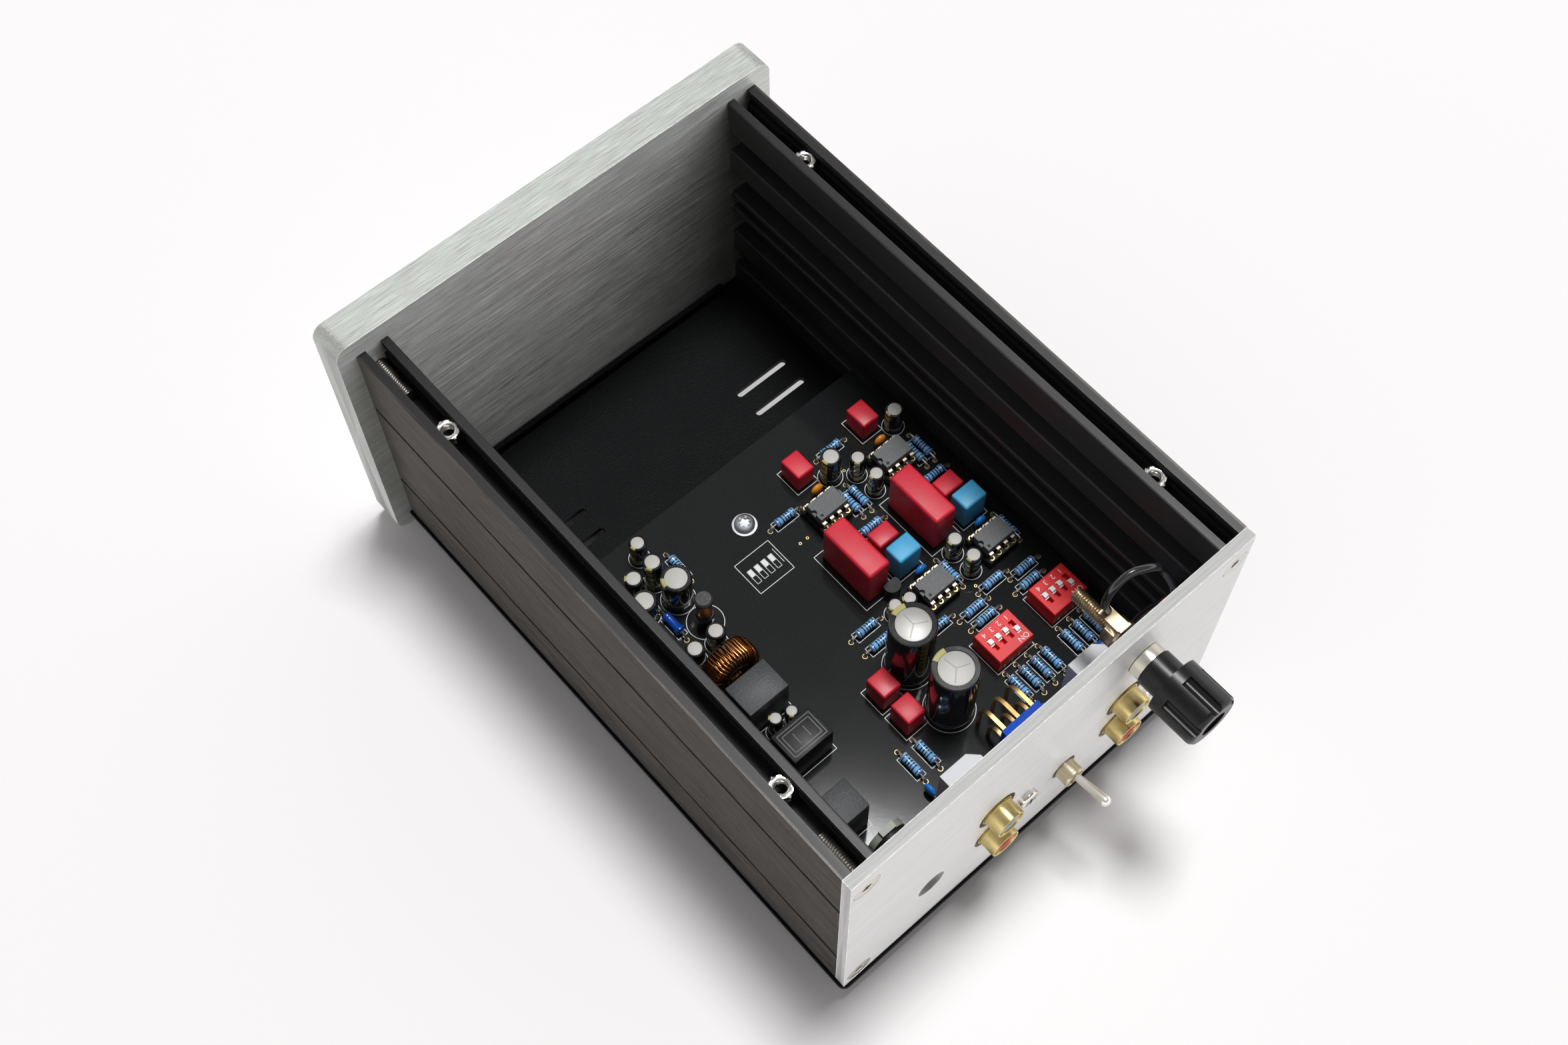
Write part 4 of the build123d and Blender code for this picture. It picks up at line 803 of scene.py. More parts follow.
# capacitors; a film block is width, depth, height, x and its place ahead of the rear panel
filmBlocks = {
    "filmBlocksLarge": {
        "node": "film_capacitors_large", "finish": "filmRed", "slot": "film_red", "edge": 0.85, "segments": 4,
        "boxes": [(7.0, 17.8, 14.8, -32.4, 72.0), (7.0, 17.8, 14.8, -9.3, 71.9)]},
    "filmBlocksRed": {
        "node": "film_capacitors_red", "finish": "filmRed", "slot": "film_red", "edge": 0.55, "segments": 3,
        "boxes": [
            (5.6, 7.1, 7.2, -40.0, 102.8), (5.6, 7.1, 7.2, -16.8, 102.6), (6.8, 5.3, 7.4, -42.4, 72.6),
            (6.8, 5.3, 7.4, -19.6, 72.7), (5.9, 6.7, 8.3, 8.5, 42.1), (5.9, 6.7, 8.3, 8.6, 33.2)]},
    "filmBlocksBlue": {
        "node": "film_capacitors_blue", "finish": "filmBlue", "slot": "film_blue", "edge": 0.6, "segments": 3,
        "boxes": [(7.5, 5.8, 10.3, -42.9, 65.4), (7.5, 5.8, 10.3, -19.8, 65.4)]},
}
for name, film in filmBlocks.items():
    bm = bmesh.new()
    for width, depth, height, x, s in film["boxes"]:
        addBox(bm, at(x, s, boardTop + height / 2), (width, depth, height), film["edge"], film["segments"])
    place(name, bm, film["finish"], film["slot"], replaces=(film["node"],), smooth=50)

cans = {  # diameter, height, x and place ahead of the rear panel
    "reservoir": [(12.3, 25.0, -1.8, 43.7), (12.3, 25.0, -1.6, 28.5)],
    "small": [
        (5.0, 8.8, -46.4, 97.4), (5.6, 11.0, -23.4, 97.0), (4.4, 9.5, -29.1, 92.8), (4.4, 9.3, -29.6, 86.2),
        (4.6, 8.5, -32.0, 59.1), (4.6, 9.0, -32.2, 52.5), (4.2, 6.0, -12.9, 55.4), (4.2, 6.0, -8.8, 56.4),
        (4.6, 9.0, 29.5, 111.7), (5.2, 12.0, 30.9, 103.8), (5.0, 9.0, 36.6, 104.6), (8.0, 12.4, 29.5, 96.2),
        (6.5, 8.5, 38.4, 98.2), (5.0, 8.0, 30.2, 80.3), (5.0, 8.0, 37.2, 80.0), (3.8, 9.4, 34.9, 52.4),
        (3.6, 9.2, 30.6, 51.3)],
    "turns": [-180, -172], "share": 0.74, "groove": 0.104,
    "nodes": {"reservoir": "reservoir_capacitors", "small": "electrolytic_capacitors"},
    "tops": {"reservoir": "canTop", "small": "canTopPlain"},
}


def canSleeve(r, height, rim, groove):
    foot = [(0.0, 0.05), (r * 0.9, 0.05), (r, 0.25)]
    waist = [(r, groove - 0.45), (r * 0.95, groove), (r, groove + 0.45)]
    shoulder = [(r, height - 0.55), (r - 0.12, height - 0.18), (r - 0.4, height), (rim + 0.15, height)]
    dish = [(rim, height - 0.12), (rim, height - 0.4), (0.0, height - 0.4)]
    return foot + waist + shoulder + dish


def canLid(height, rim):
    edge = [(rim - 0.01, height - 0.35), (rim - 0.02, height - 0.16), (rim - 0.2, height - 0.1)]
    return edge + [(0.0, height - 0.1)]


random.seed(11)
for kind, node in cans["nodes"].items():
    sleeve, lid = bmesh.new(), bmesh.new()
    for index, (diameter, height, x, s) in enumerate(cans[kind]):
        turn = radians(cans["turns"][index]) if kind == "reservoir" else random.uniform(-2.4, -0.7)
        spot = turnedAt(at(x, s), turn)
        rim = diameter / 2 * cans["share"]
        groove = max(1.2, height * cans["groove"])
        addLathe(sleeve, canSleeve(diameter / 2, height, rim, groove), spot, 36, uv=True)
        addLathe(lid, canLid(height, rim), spot, 36, flat=rim)
    place(kind + "CanSleeves", sleeve, "capSleeve", "cap_sleeve", replaces=(node,))
    place(kind + "CanTops", lid, cans["tops"][kind], "nickel")

beads = {  # x, place ahead of the rear panel, and turn in degrees
    "orange": [(-39.7, 95.4, 0), (-17.3, 95.4, 0)],
    "blue": [(-42.7, 60.3, 0), (-21.5, 60.3, 0), (17.5, 15.4, 90)],
    "finishes": {"orange": "dippedOrange", "blue": "dippedBlue"}, "half": (1.88, 0.98, 1.88), "rise": 2.6,
    "lead": 0.26, "leadRoute": [(0.8, 1.9), (1.27, 1.2), (1.27, 0.0)],
}
for colour, finish in beads["finishes"].items():
    bm = bmesh.new()
    for x, s, turn in beads[colour]:
        spot = turnedAt(at(x, s, boardTop + beads["rise"]), radians(turn))
        spot = spot @ Matrix.Diagonal((*beads["half"], 1))
        bmesh.ops.create_uvsphere(bm, u_segments=20, v_segments=12, radius=1.0, matrix=spot)
    place(colour + "Beads", bm, finish, "ceramic_dip", replaces=("ceramic_capacitors",), smooth=60)
bm = bmesh.new()
for x, s, turn in beads["orange"] + beads["blue"]:
    for side in sides:
        dx, dy = side * cos(radians(turn)), side * sin(radians(turn))
        route = [at(x + dx * out, s - dy * out, boardTop + rise) for out, rise in beads["leadRoute"]]
        addTube(bm, bend(route, 0.3, 2), beads["lead"])
place("beadLeads", bm, "tinnedWire", "nickel")
print("capacitors dressed")

# chips in turned pin sockets; the levels of a body are an inset and a height
pinPitch = 2.54
chip = {
    "spots": [(-38.2, 89.2), (-15.0, 89.1), (-41.1, 54.2), (-20.3, 54.1)], "length": 9.4, "width": 6.2,
    "whole": [(0.3, 3.5), (0.02, 5.0), (0.0, 5.05), (0.0, 5.3), (0.06, 5.7)], "notch": 0.8,
    "notched": [(0.06, 5.7), (0.22, 6.8)],
    "dot": [(0.0, 0.0), (0.42, 0.0), (0.46, 0.015), (0.0, 0.02)], "dotSpot": (3.4, 1.9, 6.79), "row": 3.81,
    "leg": [  # centre, size and bevel, as for the bars of the socket
        ((0, -3.4, 5.17), (1.25, 0.8, 0.25), 0.05), ((0, -3.72, 4.6), (1.25, 0.25, 1.35), 0.05),
        ((0, -3.75, 3.5), (0.5, 0.24, 1.0), 0.04)],
    "cup": [(0.42, 2.4), (0.42, 3.12), (0.5, 3.2), (0.78, 3.2), (0.84, 3.1), (0.84, 2.9)],
    "bars": [((0, 3.65, 1.6), (10.1, 2.3, 2.8), 0.12), ((4.3, 0, 1.35), (1.4, 5.1, 2.2), 0.1)],
}


def chipLoop(inset, z, notch=0.0):
    wide, long = chip["width"] / 2 - inset, chip["length"] / 2 - inset
    if notch:
        arc = [radians(-90 - 180 * i / 8) for i in range(9)]
        end = [(long + notch * cos(t), notch * sin(t), z) for t in arc]
    else:
        end = [(long, chip["notch"] * (i / 4 - 1), z) for i in range(9)]
    return [(-long, wide, z), (-long, -wide, z), (long, -wide, z), *end, (long, wide, z)]


chipSpots = spotsAt(chip["spots"])
bm = bmesh.new()
notchedLoops = [chipLoop(inset, z, chip["notch"]) for inset, z in chip["notched"]]
addLoft(bm, [chipLoop(inset, z) for inset, z in chip["whole"]] + notchedLoops)
copyOnPoints("chipBodies", bm, chipSpots, "chipBlack", "chip_black", replaces=("chips",), smooth=20)
dot = lathed(chip["dot"], Matrix.Translation(chip["dotSpot"]), 16)
copyOnPoints("chipDots", dot, chipSpots, "plasticBlack", "chip_black")
bm = bmesh.new()
for centre, size, bevel in chip["leg"]:
    addBox(bm, centre, size, bevel)
legSpots, cupSpots = [], []
for x, y, z, _, _ in chipSpots:
    for column in range(4):
        legX = x + (column - 1.5) * pinPitch
        for turn, side in ((0.0, -1), (pi, 1)):
            legSpots.append((legX, y, z, turn, 1.0))
            cupSpots.append((legX, y + side * chip["row"], z, 0.0, 1.0))
copyOnPoints("chipLegs", bm, legSpots, "legTin", "nickel")
copyOnPoints("socketCups", lathed(chip["cup"], steps=16), cupSpots, "goldPlate", "gold_plate")
bm = bmesh.new()
for side in sides:
    for (x, y, z), size, bevel in chip["bars"]:
        addBox(bm, (side * x, side * y, z), size, bevel)
copyOnPoints("socketFrames", bm, chipSpots, "plasticBlack", "black_plastic", replaces=("chip_sockets",))
print("chips seated")

# power filter blocks on their small feet; sizes as for the film blocks
filters = {
    "chokes": {
        "node": "line_chokes", "finish": "blockBlack",
        "blocks": [(12.4, 9.6, 13.4, 34.0, 60.2), (12.4, 9.2, 13.9, 40.1, 24.3)]},
    "converter": {
        "node": "converter_module", "finish": "plasticBlack", "blocks": [(12.4, 9.1, 11.1, 33.4, 44.4)]},
}
filterBody = {
    "edge": 0.3, "gap": 0.35, "foot": (1.2, 1.2, 0.6), "footInset": 1.2, "footRise": 0.3, "footEdge": 0.1,
}
for kind, settings in filters.items():
    bm = bmesh.new()
    for width, depth, height, x, s in settings["blocks"]:
        tall = height - filterBody["gap"]
        centre = at(x, s, boardTop + filterBody["gap"] + tall / 2)
        addBox(bm, centre, (width, depth, tall), filterBody["edge"], 2)
        footX, footY = width / 2 - filterBody["footInset"], depth / 2 - filterBody["footInset"]
        for i in sides:
            for j in sides:
                corner = at(x + i * footX, s + j * footY, boardTop + filterBody["footRise"])
                addBox(bm, corner, filterBody["foot"], filterBody["footEdge"])
    place(kind + "Blocks", bm, settings["finish"], "black_plastic", replaces=(settings["node"],), smooth=40)
moulding = {"insets": (1.1, 2.0), "line": 0.22, "bar": 1.6}
width, depth, height, x, s = filters["converter"]["blocks"][0]
spot = at(x, s, boardTop + height + inkLift)
bm = bmesh.new()
for inset in moulding["insets"]:
    addOutline(bm, spot.x, spot.y, width - 2 * inset, depth - 2 * inset, moulding["line"], spot.z)
for side in sides:
    barX = spot.x + side * moulding["bar"]
    addStrip(bm, (barX, spot.y - moulding["bar"]), (barX, spot.y + moulding["bar"]), moulding["line"], spot.z)
place("converterMoulding", bm, "chipBlack", "black_plastic", recalc=False)

# setting switches: figures on their tops, pins beside them
switch = {
    "spots": [(-42.7, 32.2), (-23.3, 32.0)], "top": 5.9, "figure": 1.5, "capital": 0.72, "figuresY": -3.35,
    "on": (-3.5, 3.45), "pin": ((0, 4.78, 0.9), (0.6, 0.24, 1.8)),
}


def flatText(words):
    curve = bpy.data.curves.new("figures", "FONT")
    curve.body = words
    curve.size = switch["figure"] / switch["capital"]
    curve.align_x = "CENTER"
    curve.align_y = "CENTER"
    curve.resolution_u = 3
    holder = bpy.data.objects.new("figures", curve)
    bpy.context.scene.collection.objects.link(holder)
    graph = bpy.context.evaluated_depsgraph_get()
    mesh = bpy.data.meshes.new_from_object(holder.evaluated_get(graph))
    bpy.data.objects.remove(holder)
    bpy.data.curves.remove(curve)
    return mesh


figuresZ = boardTop + switch["top"] + inkLift
words = [(str(n + 1), (n - 1.5) * pinPitch, switch["figuresY"]) for n in range(4)] + [("ON", *switch["on"])]
bm = bmesh.new()
for x, s in switch["spots"]:
    for text, dx, dy in words:
        figure = flatText(text)
        figure.transform(Matrix.Translation(at(x + dx, s - dy, figuresZ)))
        bm.from_mesh(figure)
        bpy.data.meshes.remove(figure)
place("switchFigures", bm, "legendWhite", "slider_white", recalc=False)
bm = bmesh.new()
addBox(bm, *switch["pin"], 0.05)
columns = [(x + (n - 1.5) * pinPitch, s) for x, s in switch["spots"] for n in range(4)]
pinSpots = [(*at(x, s), turn, 1.0) for x, s in columns for turn in (0.0, pi)]
copyOnPoints("switchPins", bm, pinSpots, "goldPlate", "gold_plate")

# legend printed on the board: outlines of parts, and a small drawing of a setting switch
legend = {
    "frames": [  # x, place ahead of the rear panel, width and depth
        (-32.4, 72.0, 10.2, 20.2), (-9.3, 71.9, 10.2, 20.2), (-40.0, 102.8, 7.0, 8.4),
        (-16.8, 102.6, 7.0, 8.4), (8.5, 42.1, 7.4, 8.0), (8.6, 33.2, 7.4, 8.0), (-42.9, 65.4, 8.6, 6.9),
        (-19.8, 65.4, 8.6, 6.9), (-42.7, 32.2, 12.8, 10.6), (-23.3, 32.0, 12.8, 10.6),
        (34.0, 60.2, 13.6, 10.8), (33.4, 44.4, 13.8, 10.4), (40.1, 24.3, 13.6, 10.6)],
    "canGap": 0.55, "coil": 4.9, "arc": 0.85, "arcs": [(-2.4, -1.7), (-2.2, 0.0), (-2.0, 1.7)],
    # the switch drawing: two corners, four slots with their sliders, and a bar
    "low": (1.4, -16.2), "high": (12.8, -5.8), "pitch": 2.3, "shift": (0.3, 0.4), "slot": (1.35, 4.4, 0.14),
    "slider": (-2.15, -0.1, 1.3), "bar": (-4.9, -2.6, 2.2, 0.16),
}
bm = bmesh.new()
for x, s, width, depth in legend["frames"]:
    spot = at(x, s)
    addOutline(bm, spot.x, spot.y, width, depth)
for diameter, height, x, s in cans["reservoir"] + cans["small"]:
    spot = at(x, s)
    addCircle(bm, spot.x, spot.y, diameter / 2 + legend["canGap"])
spot = at(drumX, drumAhead)
addCircle(bm, spot.x, spot.y, legend["coil"])
for dx, dy in legend["arcs"]:
    addCircle(bm, spot.x + dx, spot.y + dy, legend["arc"], start=-90, end=90)
(lowX, lowY), (highX, highY) = legend["low"], legend["high"]
midX, midY = (lowX + highX) / 2, (lowY + highY) / 2
addOutline(bm, midX, midY, highX - lowX, highY - lowY)
sliderLow, sliderHigh, sliderWidth = legend["slider"]
for n in range(4):
    x = midX + (n - 1.5) * legend["pitch"] + legend["shift"][0]
    y = midY + legend["shift"][1]
    addOutline(bm, x, y, *legend["slot"])
    addStrip(bm, (x, y + sliderLow), (x, y + sliderHigh), sliderWidth)
barX, barLow, barHigh, barWidth = legend["bar"]
addStrip(bm, (midX + barX, midY + barLow), (midX + barX, midY + barHigh), barWidth)
place("boardLegend", bm, "legendWhite", "socket_white", recalc=False)
print("switch figures and board outlines printed")

# drum inductor and the upright toroid
drum = {
    "coilFoot": 5.95,
    "core": [
        (0, 4.2), (2.2, 4.2), (2.4, 4.4), (2.4, 5.5), (2.2, 5.7), (1.3, 5.75), (1.3, 12.45), (2.2, 12.5),
        (2.4, 12.7), (2.4, 13.5), (1.95, 13.98), (0, 14.0)],
    "coil": {"Turns": 13.0, "Radius": 1.82, "Height": 6.3, "Wire": 0.26},
    "lead": 0.24, "leadRoute": [(1.7, -0.4, 6.1), (1.9, -0.9, 3.6), (1.27, 0.0, 0.0)],
}
spot = Matrix.Translation(at(drumX, drumAhead))
place("drumCore", lathed(drum["core"], spot), "ferrite", "ferrite", replaces=("drum_inductor_core",))
coil = grow("drumCoil", postCoil, "drumCopper", drum["coil"])
spot = spot @ Matrix.Translation((0, 0, drum["coilFoot"]))
placeMesh("drumCoil", coil, "copper_winding", replaces=("drum_inductor_winding",), smooth=60, spot=spot)
bm = bmesh.new()
for side in sides:
    route = []
    for out, ahead, rise in drum["leadRoute"]:
        route.append(at(drumX + side * out, drumAhead + ahead, boardTop + rise))
    addTube(bm, bend(route, 0.8), drum["lead"])
place("drumLeads", bm, "drumCopper", "copper_winding")

toroid = {"x": 33.5, "ahead": 71.0, "rise": 7.5, "ring": {"Ring Radius": 4.9, "Wire": 0.33}}
toroid["outer"] = {"Turns": 44, "Depth": 4.5, "Width": 6.9, "Corner": 1.7, "Lean": 0.1, **toroid["ring"]}
toroid["under"] = {
    "Turns": 40, "Depth": 3.9, "Width": 6.3, "Corner": 1.5, "Lean": -0.1, "Phase": 0.07, "Seed": 8,
    **toroid["ring"]}
spot = alongY(*at(toroid["x"], toroid["ahead"], boardTop + toroid["rise"]))
outer = grow("toroidTurns", ringWinding, "copperWire", toroid["outer"])
placeMesh("toroidTurns", outer, "copper_winding", replaces=("toroid_winding",), smooth=60, spot=spot)
under = grow("toroidUnderTurns", ringWinding, "copperWire", toroid["under"])
placeMesh("toroidUnderTurns", under, "copper_winding", smooth=60, spot=spot)
print("inductors wound")

# nuts and countersunk screws; a thread's row is the height of one of its rows of faces
nut = {"corner": 0.036, "inset": 0.05, "mouth": 0.3, "lead": 0.25, "cut": 0.16}


def addNut(bm, spot, width, height, bore, pitch, turn=0.0):
    corner, flat, lead = nut["corner"] * width, width / 2 - nut["inset"], nut["lead"]
    loops = []
    for z, cap in ((0.0, flat), (corner, width), (height - corner, width), (height, flat)):
        loops.append(roundLoop(spot, z, lambda t: min(hexAt(t, width), cap), turn=turn))
    loops.append(roundLoop(spot, height, bore + nut["mouth"], turn=turn))
    rows = int((height - 2 * lead) / (pitch / 2))
    for i in range(rows + 1):
        radius = bore - (nut["cut"] if i % 2 else 0.0)
        loops.append(roundLoop(spot, height - lead - i * (height - 2 * lead) / rows, radius, turn=turn))
    loops.append(roundLoop(spot, 0.0, bore + nut["mouth"], turn=turn))
    addLoft(bm, loops, closed=True)


def hexagon(width, more=0.0):
    return lambda t: hexAt(t, width) + more


def addFlatHead(bm, spot, radius, head, socket):
    under = radius - head - 0.1
    shapes = [
        (under, radius - 0.15), (under, radius), (-0.12, head), (-0.02, head - 0.04), (0.0, head - 0.14),
        (0.0, hexagon(socket, 0.12)), (-0.12, hexagon(socket)), (-1.2, hexagon(socket)), (-1.45, 0.15)]
    addLoft(bm, [roundLoop(spot, z, shape) for z, shape in shapes])


def threadedRod(name, size, length, finish):
    values = {"Radius": size["radius"], "Length": length, "Pitch": size["pitch"], "Depth": size["depth"]}
    return grow(name, rodThread, finish, {**values, "Rows": int(length / size["row"])})


panelScrew = {
    "radius": 1.95, "head": 3.75, "socket": 2.5, "headDepth": 1.8, "pitch": 0.7, "depth": 0.34, "row": 0.14,
    "z": [12.6, 77.1],
}
panels = {
    "rear": {"face": 80.45, "reach": 14.9, "turn": -quarter},
    "front": {"face": -102.45, "reach": 21.9, "turn": quarter},
}
for side, panel in panels.items():
    heads, shanks = bmesh.new(), bmesh.new()
    length = panel["reach"] - panelScrew["headDepth"]
    rod = threadedRod("shank", panelScrew, length, "threadSteel")
    for x in (-slotX, slotX):
        for z in panelScrew["z"]:
            spot = alongY(x, panel["face"], z, panel["turn"]) @ Matrix.Rotation(random.uniform(0, 1), 4, "Z")
            addFlatHead(heads, spot, panelScrew["radius"], panelScrew["head"], panelScrew["socket"])
            turned = rod.copy()
            turned.transform(spot @ Matrix.Translation((0, 0, -panelScrew["headDepth"] - length / 2)))
            shanks.from_mesh(turned)
            bpy.data.meshes.remove(turned)
    node = side + "_panel_screws"
    place(side + "ScrewHeads", heads, "screwSteel", "steel_screw", replaces=(node,), smooth=40)
    place(side + "ScrewThreads", shanks, "threadSteel", "steel_screw", recalc=False)

slotNut = {"width": 5.5, "height": 2.4, "bore": 1.5, "pitch": 0.5}
for name in ("left_front", "left_rear", "right_front", "right_rear"):
    node = "slot_nut_" + name
    low, high = (Vector(corner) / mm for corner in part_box(node))
    spot = Matrix.Translation((low + high) / 2 - Vector((0, 0, slotNut["height"] / 2)))
    bm = bmesh.new()
    addNut(bm, spot, **slotNut)
    piece = "slotNut" + name.title().replace("_", "")
    place(piece, bm, "zincSteel", "steel_screw", body=node, replaces=(node,), smooth=40)

boardScrew = {
    "spots": [(3.0, 101.0), (-46.4, 4.6), (46.4, 4.6)],
    "washer": [(2.0, 0.0), (3.3, 0.0), (3.4, 0.12), (3.35, 0.38), (2.9, 0.48), (2.0, 0.48)],
    "dome": [(0.5, 2.2), (0.5, 2.7), (0.95, 2.78), (1.55, 2.6), (2.0, 2.15), (2.2, 1.75)],
    "star": [(1.95, 1.42), (1.1, 1.38)], "lobe": 0.24, "floor": (1.0, 0.1),
}


def starAt(radius):
    return lambda t: radius + boardScrew["lobe"] * cos(6 * t)


bm = bmesh.new()
for x, s in boardScrew["spots"]:
    spot = turnedAt(at(x, s), 0.3 + x)
    addLathe(bm, boardScrew["washer"], spot, 40, closed=True)
    star = [(z, starAt(radius)) for z, radius in boardScrew["star"]]
    shapes = boardScrew["dome"] + star + [boardScrew["floor"]]
    addLoft(bm, [roundLoop(spot, z, shape, 48) for z, shape in shapes])
place("boardScrewHeads", bm, "washerSteel", "steel_screw", replaces=("board_screws",), smooth=35)

post = {
    "low": 58.9, "high": 98.6, "radius": 1.96, "pitch": 0.7, "depth": 0.36, "row": 0.12, "ringY": 80.55,
    "ring": [(1.7, 0.0), (4.55, 0.0), (4.75, 0.2), (4.75, 2.9), (4.55, 3.1), (1.7, 3.1)],
    "nut": {"width": 7.0, "height": 3.34, "bore": 1.98, "pitch": 0.7}, "nuts": [(74.13, 0.2), (70.03, 0.75)],
}
rod = threadedRod("postThread", post, post["high"] - post["low"], "brassNickel")
placeMesh("postThread", rod, "nickel", spot=alongY(postX, (post["low"] + post["high"]) / 2, postZ))
ring = lathed(post["ring"], alongY(postX, post["ringY"], postZ), 48, closed=True)
place("postRing", ring, "nickelPlate", "nickel", replaces=("ground_post",))
bm = bmesh.new()
for y, turn in post["nuts"]:
    addNut(bm, alongY(postX, y, postZ), turn=turn, **post["nut"])
place("postNuts", bm, "brassNickel", "nickel", replaces=("ground_nuts",), smooth=40)
print("screws, nuts and threads cut")

# phono sockets: gold barrels and contacts, white and red inserts
phono = {
    "barrel": [
        (3.6, -2.9), (3.6, 4.45), (3.68, 4.68), (3.85, 4.78), (4.0, 4.78), (4.14, 4.68), (4.2, 4.45),
        (4.2, 0.5), (4.3, 0.42), (4.3, 0.3), (4.2, 0.22), (4.2, 0.08), (4.6, 0.0), (4.6, -2.9)],
    "contact": [(1.3, -1.5), (1.3, 2.9), (1.4, 3.1), (1.55, 3.1), (1.64, 2.9), (1.64, -1.5)],
    "insert": [
        (1.7, -2.9), (1.7, 3.7), (1.85, 4.0), (2.3, 4.3), (2.9, 4.35), (3.35, 4.2), (3.56, 3.85),
        (3.56, -2.9)],
}
barrels, contacts = bmesh.new(), bmesh.new()
for x in signalX:
    for z in signalZ.values():
        addLathe(barrels, phono["barrel"], alongY(x, panelY, z), 48, closed=True)
        addLathe(contacts, phono["contact"], alongY(x, panelY, z), 24, closed=True)
place("signalBarrels", barrels, "goldPlate", "gold_plate", replaces=("signal_socket_barrels",))
place("signalContacts", contacts, "goldPlate", "gold_plate")
for colour, finish in (("white", "socketWhite"), ("red", "socketRed")):
    bm = bmesh.new()
    for x in signalX:
        addLathe(bm, phono["insert"], alongY(x, panelY, signalZ[colour]), 40, closed=True)
    node = "signal_inserts_" + colour
    place(finish + "Inserts", bm, finish, "socket_" + colour, replaces=(node,), smooth=40)

# toggle switch: a threaded bushing with a keyway, and the bat lever
bushing = {
    "radius": 3.02, "cut": 0.05, "row": 0.2, "rows": 37, "foot": -1.15, "key": 0.16, "keyDepth": 0.35,
    "lip": [(6.75, 2.98, 0.35), (6.98, 2.85, 0.15)],  # height, radius and depth of the keyway
    "mouth": [(6.98, 2.62), (5.6, 2.35), (-1.15, 2.35)],  # height and radius
    "flange": [(2.4, -1.98), (4.45, -1.98), (4.6, -1.85), (4.6, -1.35), (4.45, -1.22), (2.4, -1.22)],
}


def keyed(radius, depth):
    return lambda t: radius - (depth if abs(t - quarter) < bushing["key"] else 0.0)


shapes = []
for i in range(bushing["rows"]):
    thread = bushing["radius"] - (bushing["cut"] if i % 2 else 0.0)
    shapes.append((bushing["foot"] + i * bushing["row"], keyed(thread, bushing["keyDepth"])))
shapes += [(height, keyed(radius, depth)) for height, radius, depth in bushing["lip"]]
shapes += bushing["mouth"]
spot = alongY(toggleX, rearY, toggleZ)
bm = bmesh.new()
addLoft(bm, [roundLoop(spot, z, shape, 40) for z, shape in shapes], closed=True)
addLathe(bm, bushing["flange"], spot, closed=True)
place("bushingThread", bm, "bushingBrass", "nickel", replaces=("toggle_bushing",), smooth=30)

lever = {
    "lean": 13.5, "pivot": 78.0, "neck": 0.95, "neckFrom": 1.9, "neckTo": 7.0, "tip": 1.45, "tipFrom": 13.6,
    "ball": 2.0, "length": 17.7,
    "pinProfile": [(0.0, -1.0), (0.85, -1.0), (1.0, -0.97), (1.0, 0.97), (0.85, 1.0), (0.0, 1.0)],
    "pin": 0.6, "pinHalf": 2.95,
}


def leverProfile():
    neck, tip, ball = lever["neck"], lever["tip"], lever["ball"]
    profile = [(ball * cos(radians(a)), ball * sin(radians(a))) for a in range(-90, 62, 8)]
    profile += [(neck, lever["neckFrom"]), (neck, lever["neckTo"]), (tip - 0.12, lever["tipFrom"])]
    for a in range(0, 91, 10):
        height = lever["length"] - tip * (1 - sin(radians(a)))
        profile.append((tip * cos(radians(a)), height))
    return profile


pivot = (toggleX, lever["pivot"], toggleZ)
bm = bmesh.new()
addLathe(bm, leverProfile(), alongY(*pivot, radians(lever["lean"] - 90)))
pin = [(r * lever["pin"], z * lever["pinHalf"]) for r, z in lever["pinProfile"]]
addLathe(bm, pin, turnedAt(pivot, quarter, "Y"), 16)
place("toggleBat", bm, "leverNickel", "nickel", body="toggle_lever", replaces=("toggle_lever",), smooth=40)
print("sockets and switch dressed")

# floor, light and camera, in metres
stage = {
    "reach": 12.0, "floorColour": (0.893, 0.873, 0.878, 1.0), "underVents": (-0.0385, -0.0605),
    "ventReach": (0.014, 0.012), "ventFade": 0.003, "underGlow": (0.5, 0.5, 0.49, 1.0),
}
bpy.ops.mesh.primitive_plane_add(size=stage["reach"], location=(0, 0, 0))
floor = bpy.context.object
floor.name = "paleFloor"
floor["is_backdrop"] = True
material, tree, shader, spot = startMaterial("paleFloor")
# painted light: a patch of floor under the right vents glows, so it stays pale though the case shades it
reach = []
for i in (0, 1):
    off = offFrom(tree, parts(tree, spot)[i], stage["underVents"][i])
    reach.append(remap(tree, off, stage["ventReach"][i] + stage["ventFade"], stage["ventReach"][i]))
glow = blendColour(tree, times(tree, reach[0], reach[1]), (0.0, 0.0, 0.0, 1.0), stage["underGlow"])
feed(tree, shader, {
    "Base Color": stage["floorColour"], "Roughness": 0.9, "Specular IOR Level": 0.1, "Emission Color": glow,
    "Emission Strength": 1.0})
floor.data.materials.append(material)

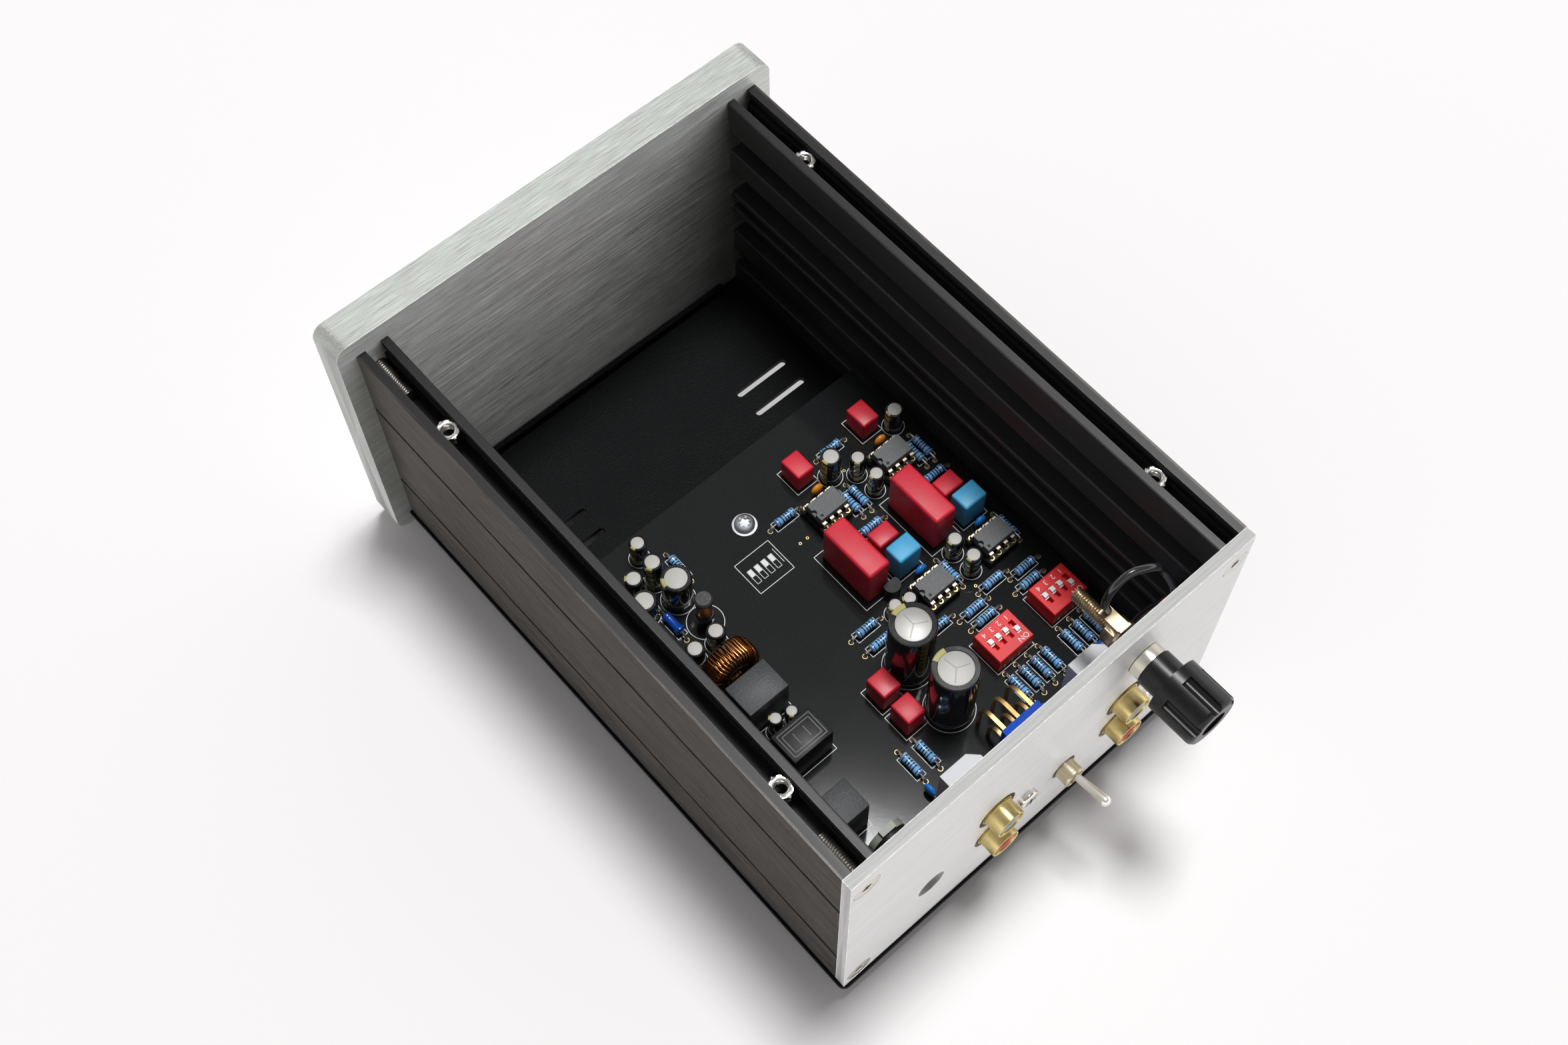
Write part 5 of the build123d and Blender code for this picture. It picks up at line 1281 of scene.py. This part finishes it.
room = {
    "colour": (1.0, 0.99, 0.99, 1.0), "skyFrom": 0.25, "skyTo": 0.62, "skyLow": 1.75, "skyHigh": 0.34,
    "diffuse": 0.25,
}
world = bpy.data.worlds.new("paleRoom")
world.use_nodes = True
tree = world.node_tree
tree.nodes.clear()
rays = shade(tree, "LightPath").outputs
seen = maths(tree, "MAXIMUM", rays["Is Camera Ray"], rays["Is Transmission Ray"])
upward = parts(tree, shade(tree, "TexCoord").outputs["Generated"])[2]
sky = remap(tree, upward, room["skyFrom"], room["skyTo"], room["skyLow"], room["skyHigh"])
strength = between(tree, rays["Is Diffuse Ray"], sky, room["diffuse"])
strength = between(tree, seen, strength, 1.0)
backdrop = shade(tree, "Background", {"Color": room["colour"], "Strength": strength})
tree.links.new(backdrop.outputs[0], shade(tree, "OutputWorld").inputs[0])
bpy.context.scene.world = world

softbox = {"place": (-1.05, -0.50, 6.0), "size": 1.4, "power": 305.0}
lamp = bpy.data.lights.new("softboxAbove", "AREA")
lamp.size = softbox["size"]
lamp.energy = softbox["power"]
light = bpy.data.objects.new("softboxAbove", lamp)
bpy.context.scene.collection.objects.link(light)
light.location = softbox["place"]
light.rotation_euler = (-Vector(softbox["place"])).to_track_quat("-Z", "Y").to_euler()

view = {  # focal length, frame and centre are in pixels
    "place": (0.15153, 0.16456, 0.48552),
    "right": (-0.7408006, 0.6714175, 0.0203223),
    "down": (0.5862939, 0.6610536, -0.4682601),
    "ahead": (-0.3278322, -0.3349725, -0.8833569),
    "focal": 2993.6, "width": 2352, "height": 1568, "centre": (1264.6, 759.8), "sensor": 36.0,
}
lens = bpy.data.cameras.new("viewCamera")
camera = bpy.data.objects.new("viewCamera", lens)
bpy.context.scene.collection.objects.link(camera)
axes = [Vector(view["right"]), -Vector(view["down"]), -Vector(view["ahead"])]
camera.matrix_world = Matrix.Translation(view["place"]) @ Matrix(axes).transposed().to_4x4()
lens.sensor_width = view["sensor"]
lens.lens = view["focal"] * view["sensor"] / view["width"]
lens.shift_x = (view["width"] / 2 - view["centre"][0]) / view["width"]
lens.shift_y = (view["centre"][1] - view["height"] / 2) / view["width"]
lens.clip_start, lens.clip_end = 0.01, 20.0
bpy.context.scene.camera = camera
bpy.context.scene.view_settings.view_transform = "Standard"
print("floor, lamp and camera ready")

low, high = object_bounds()
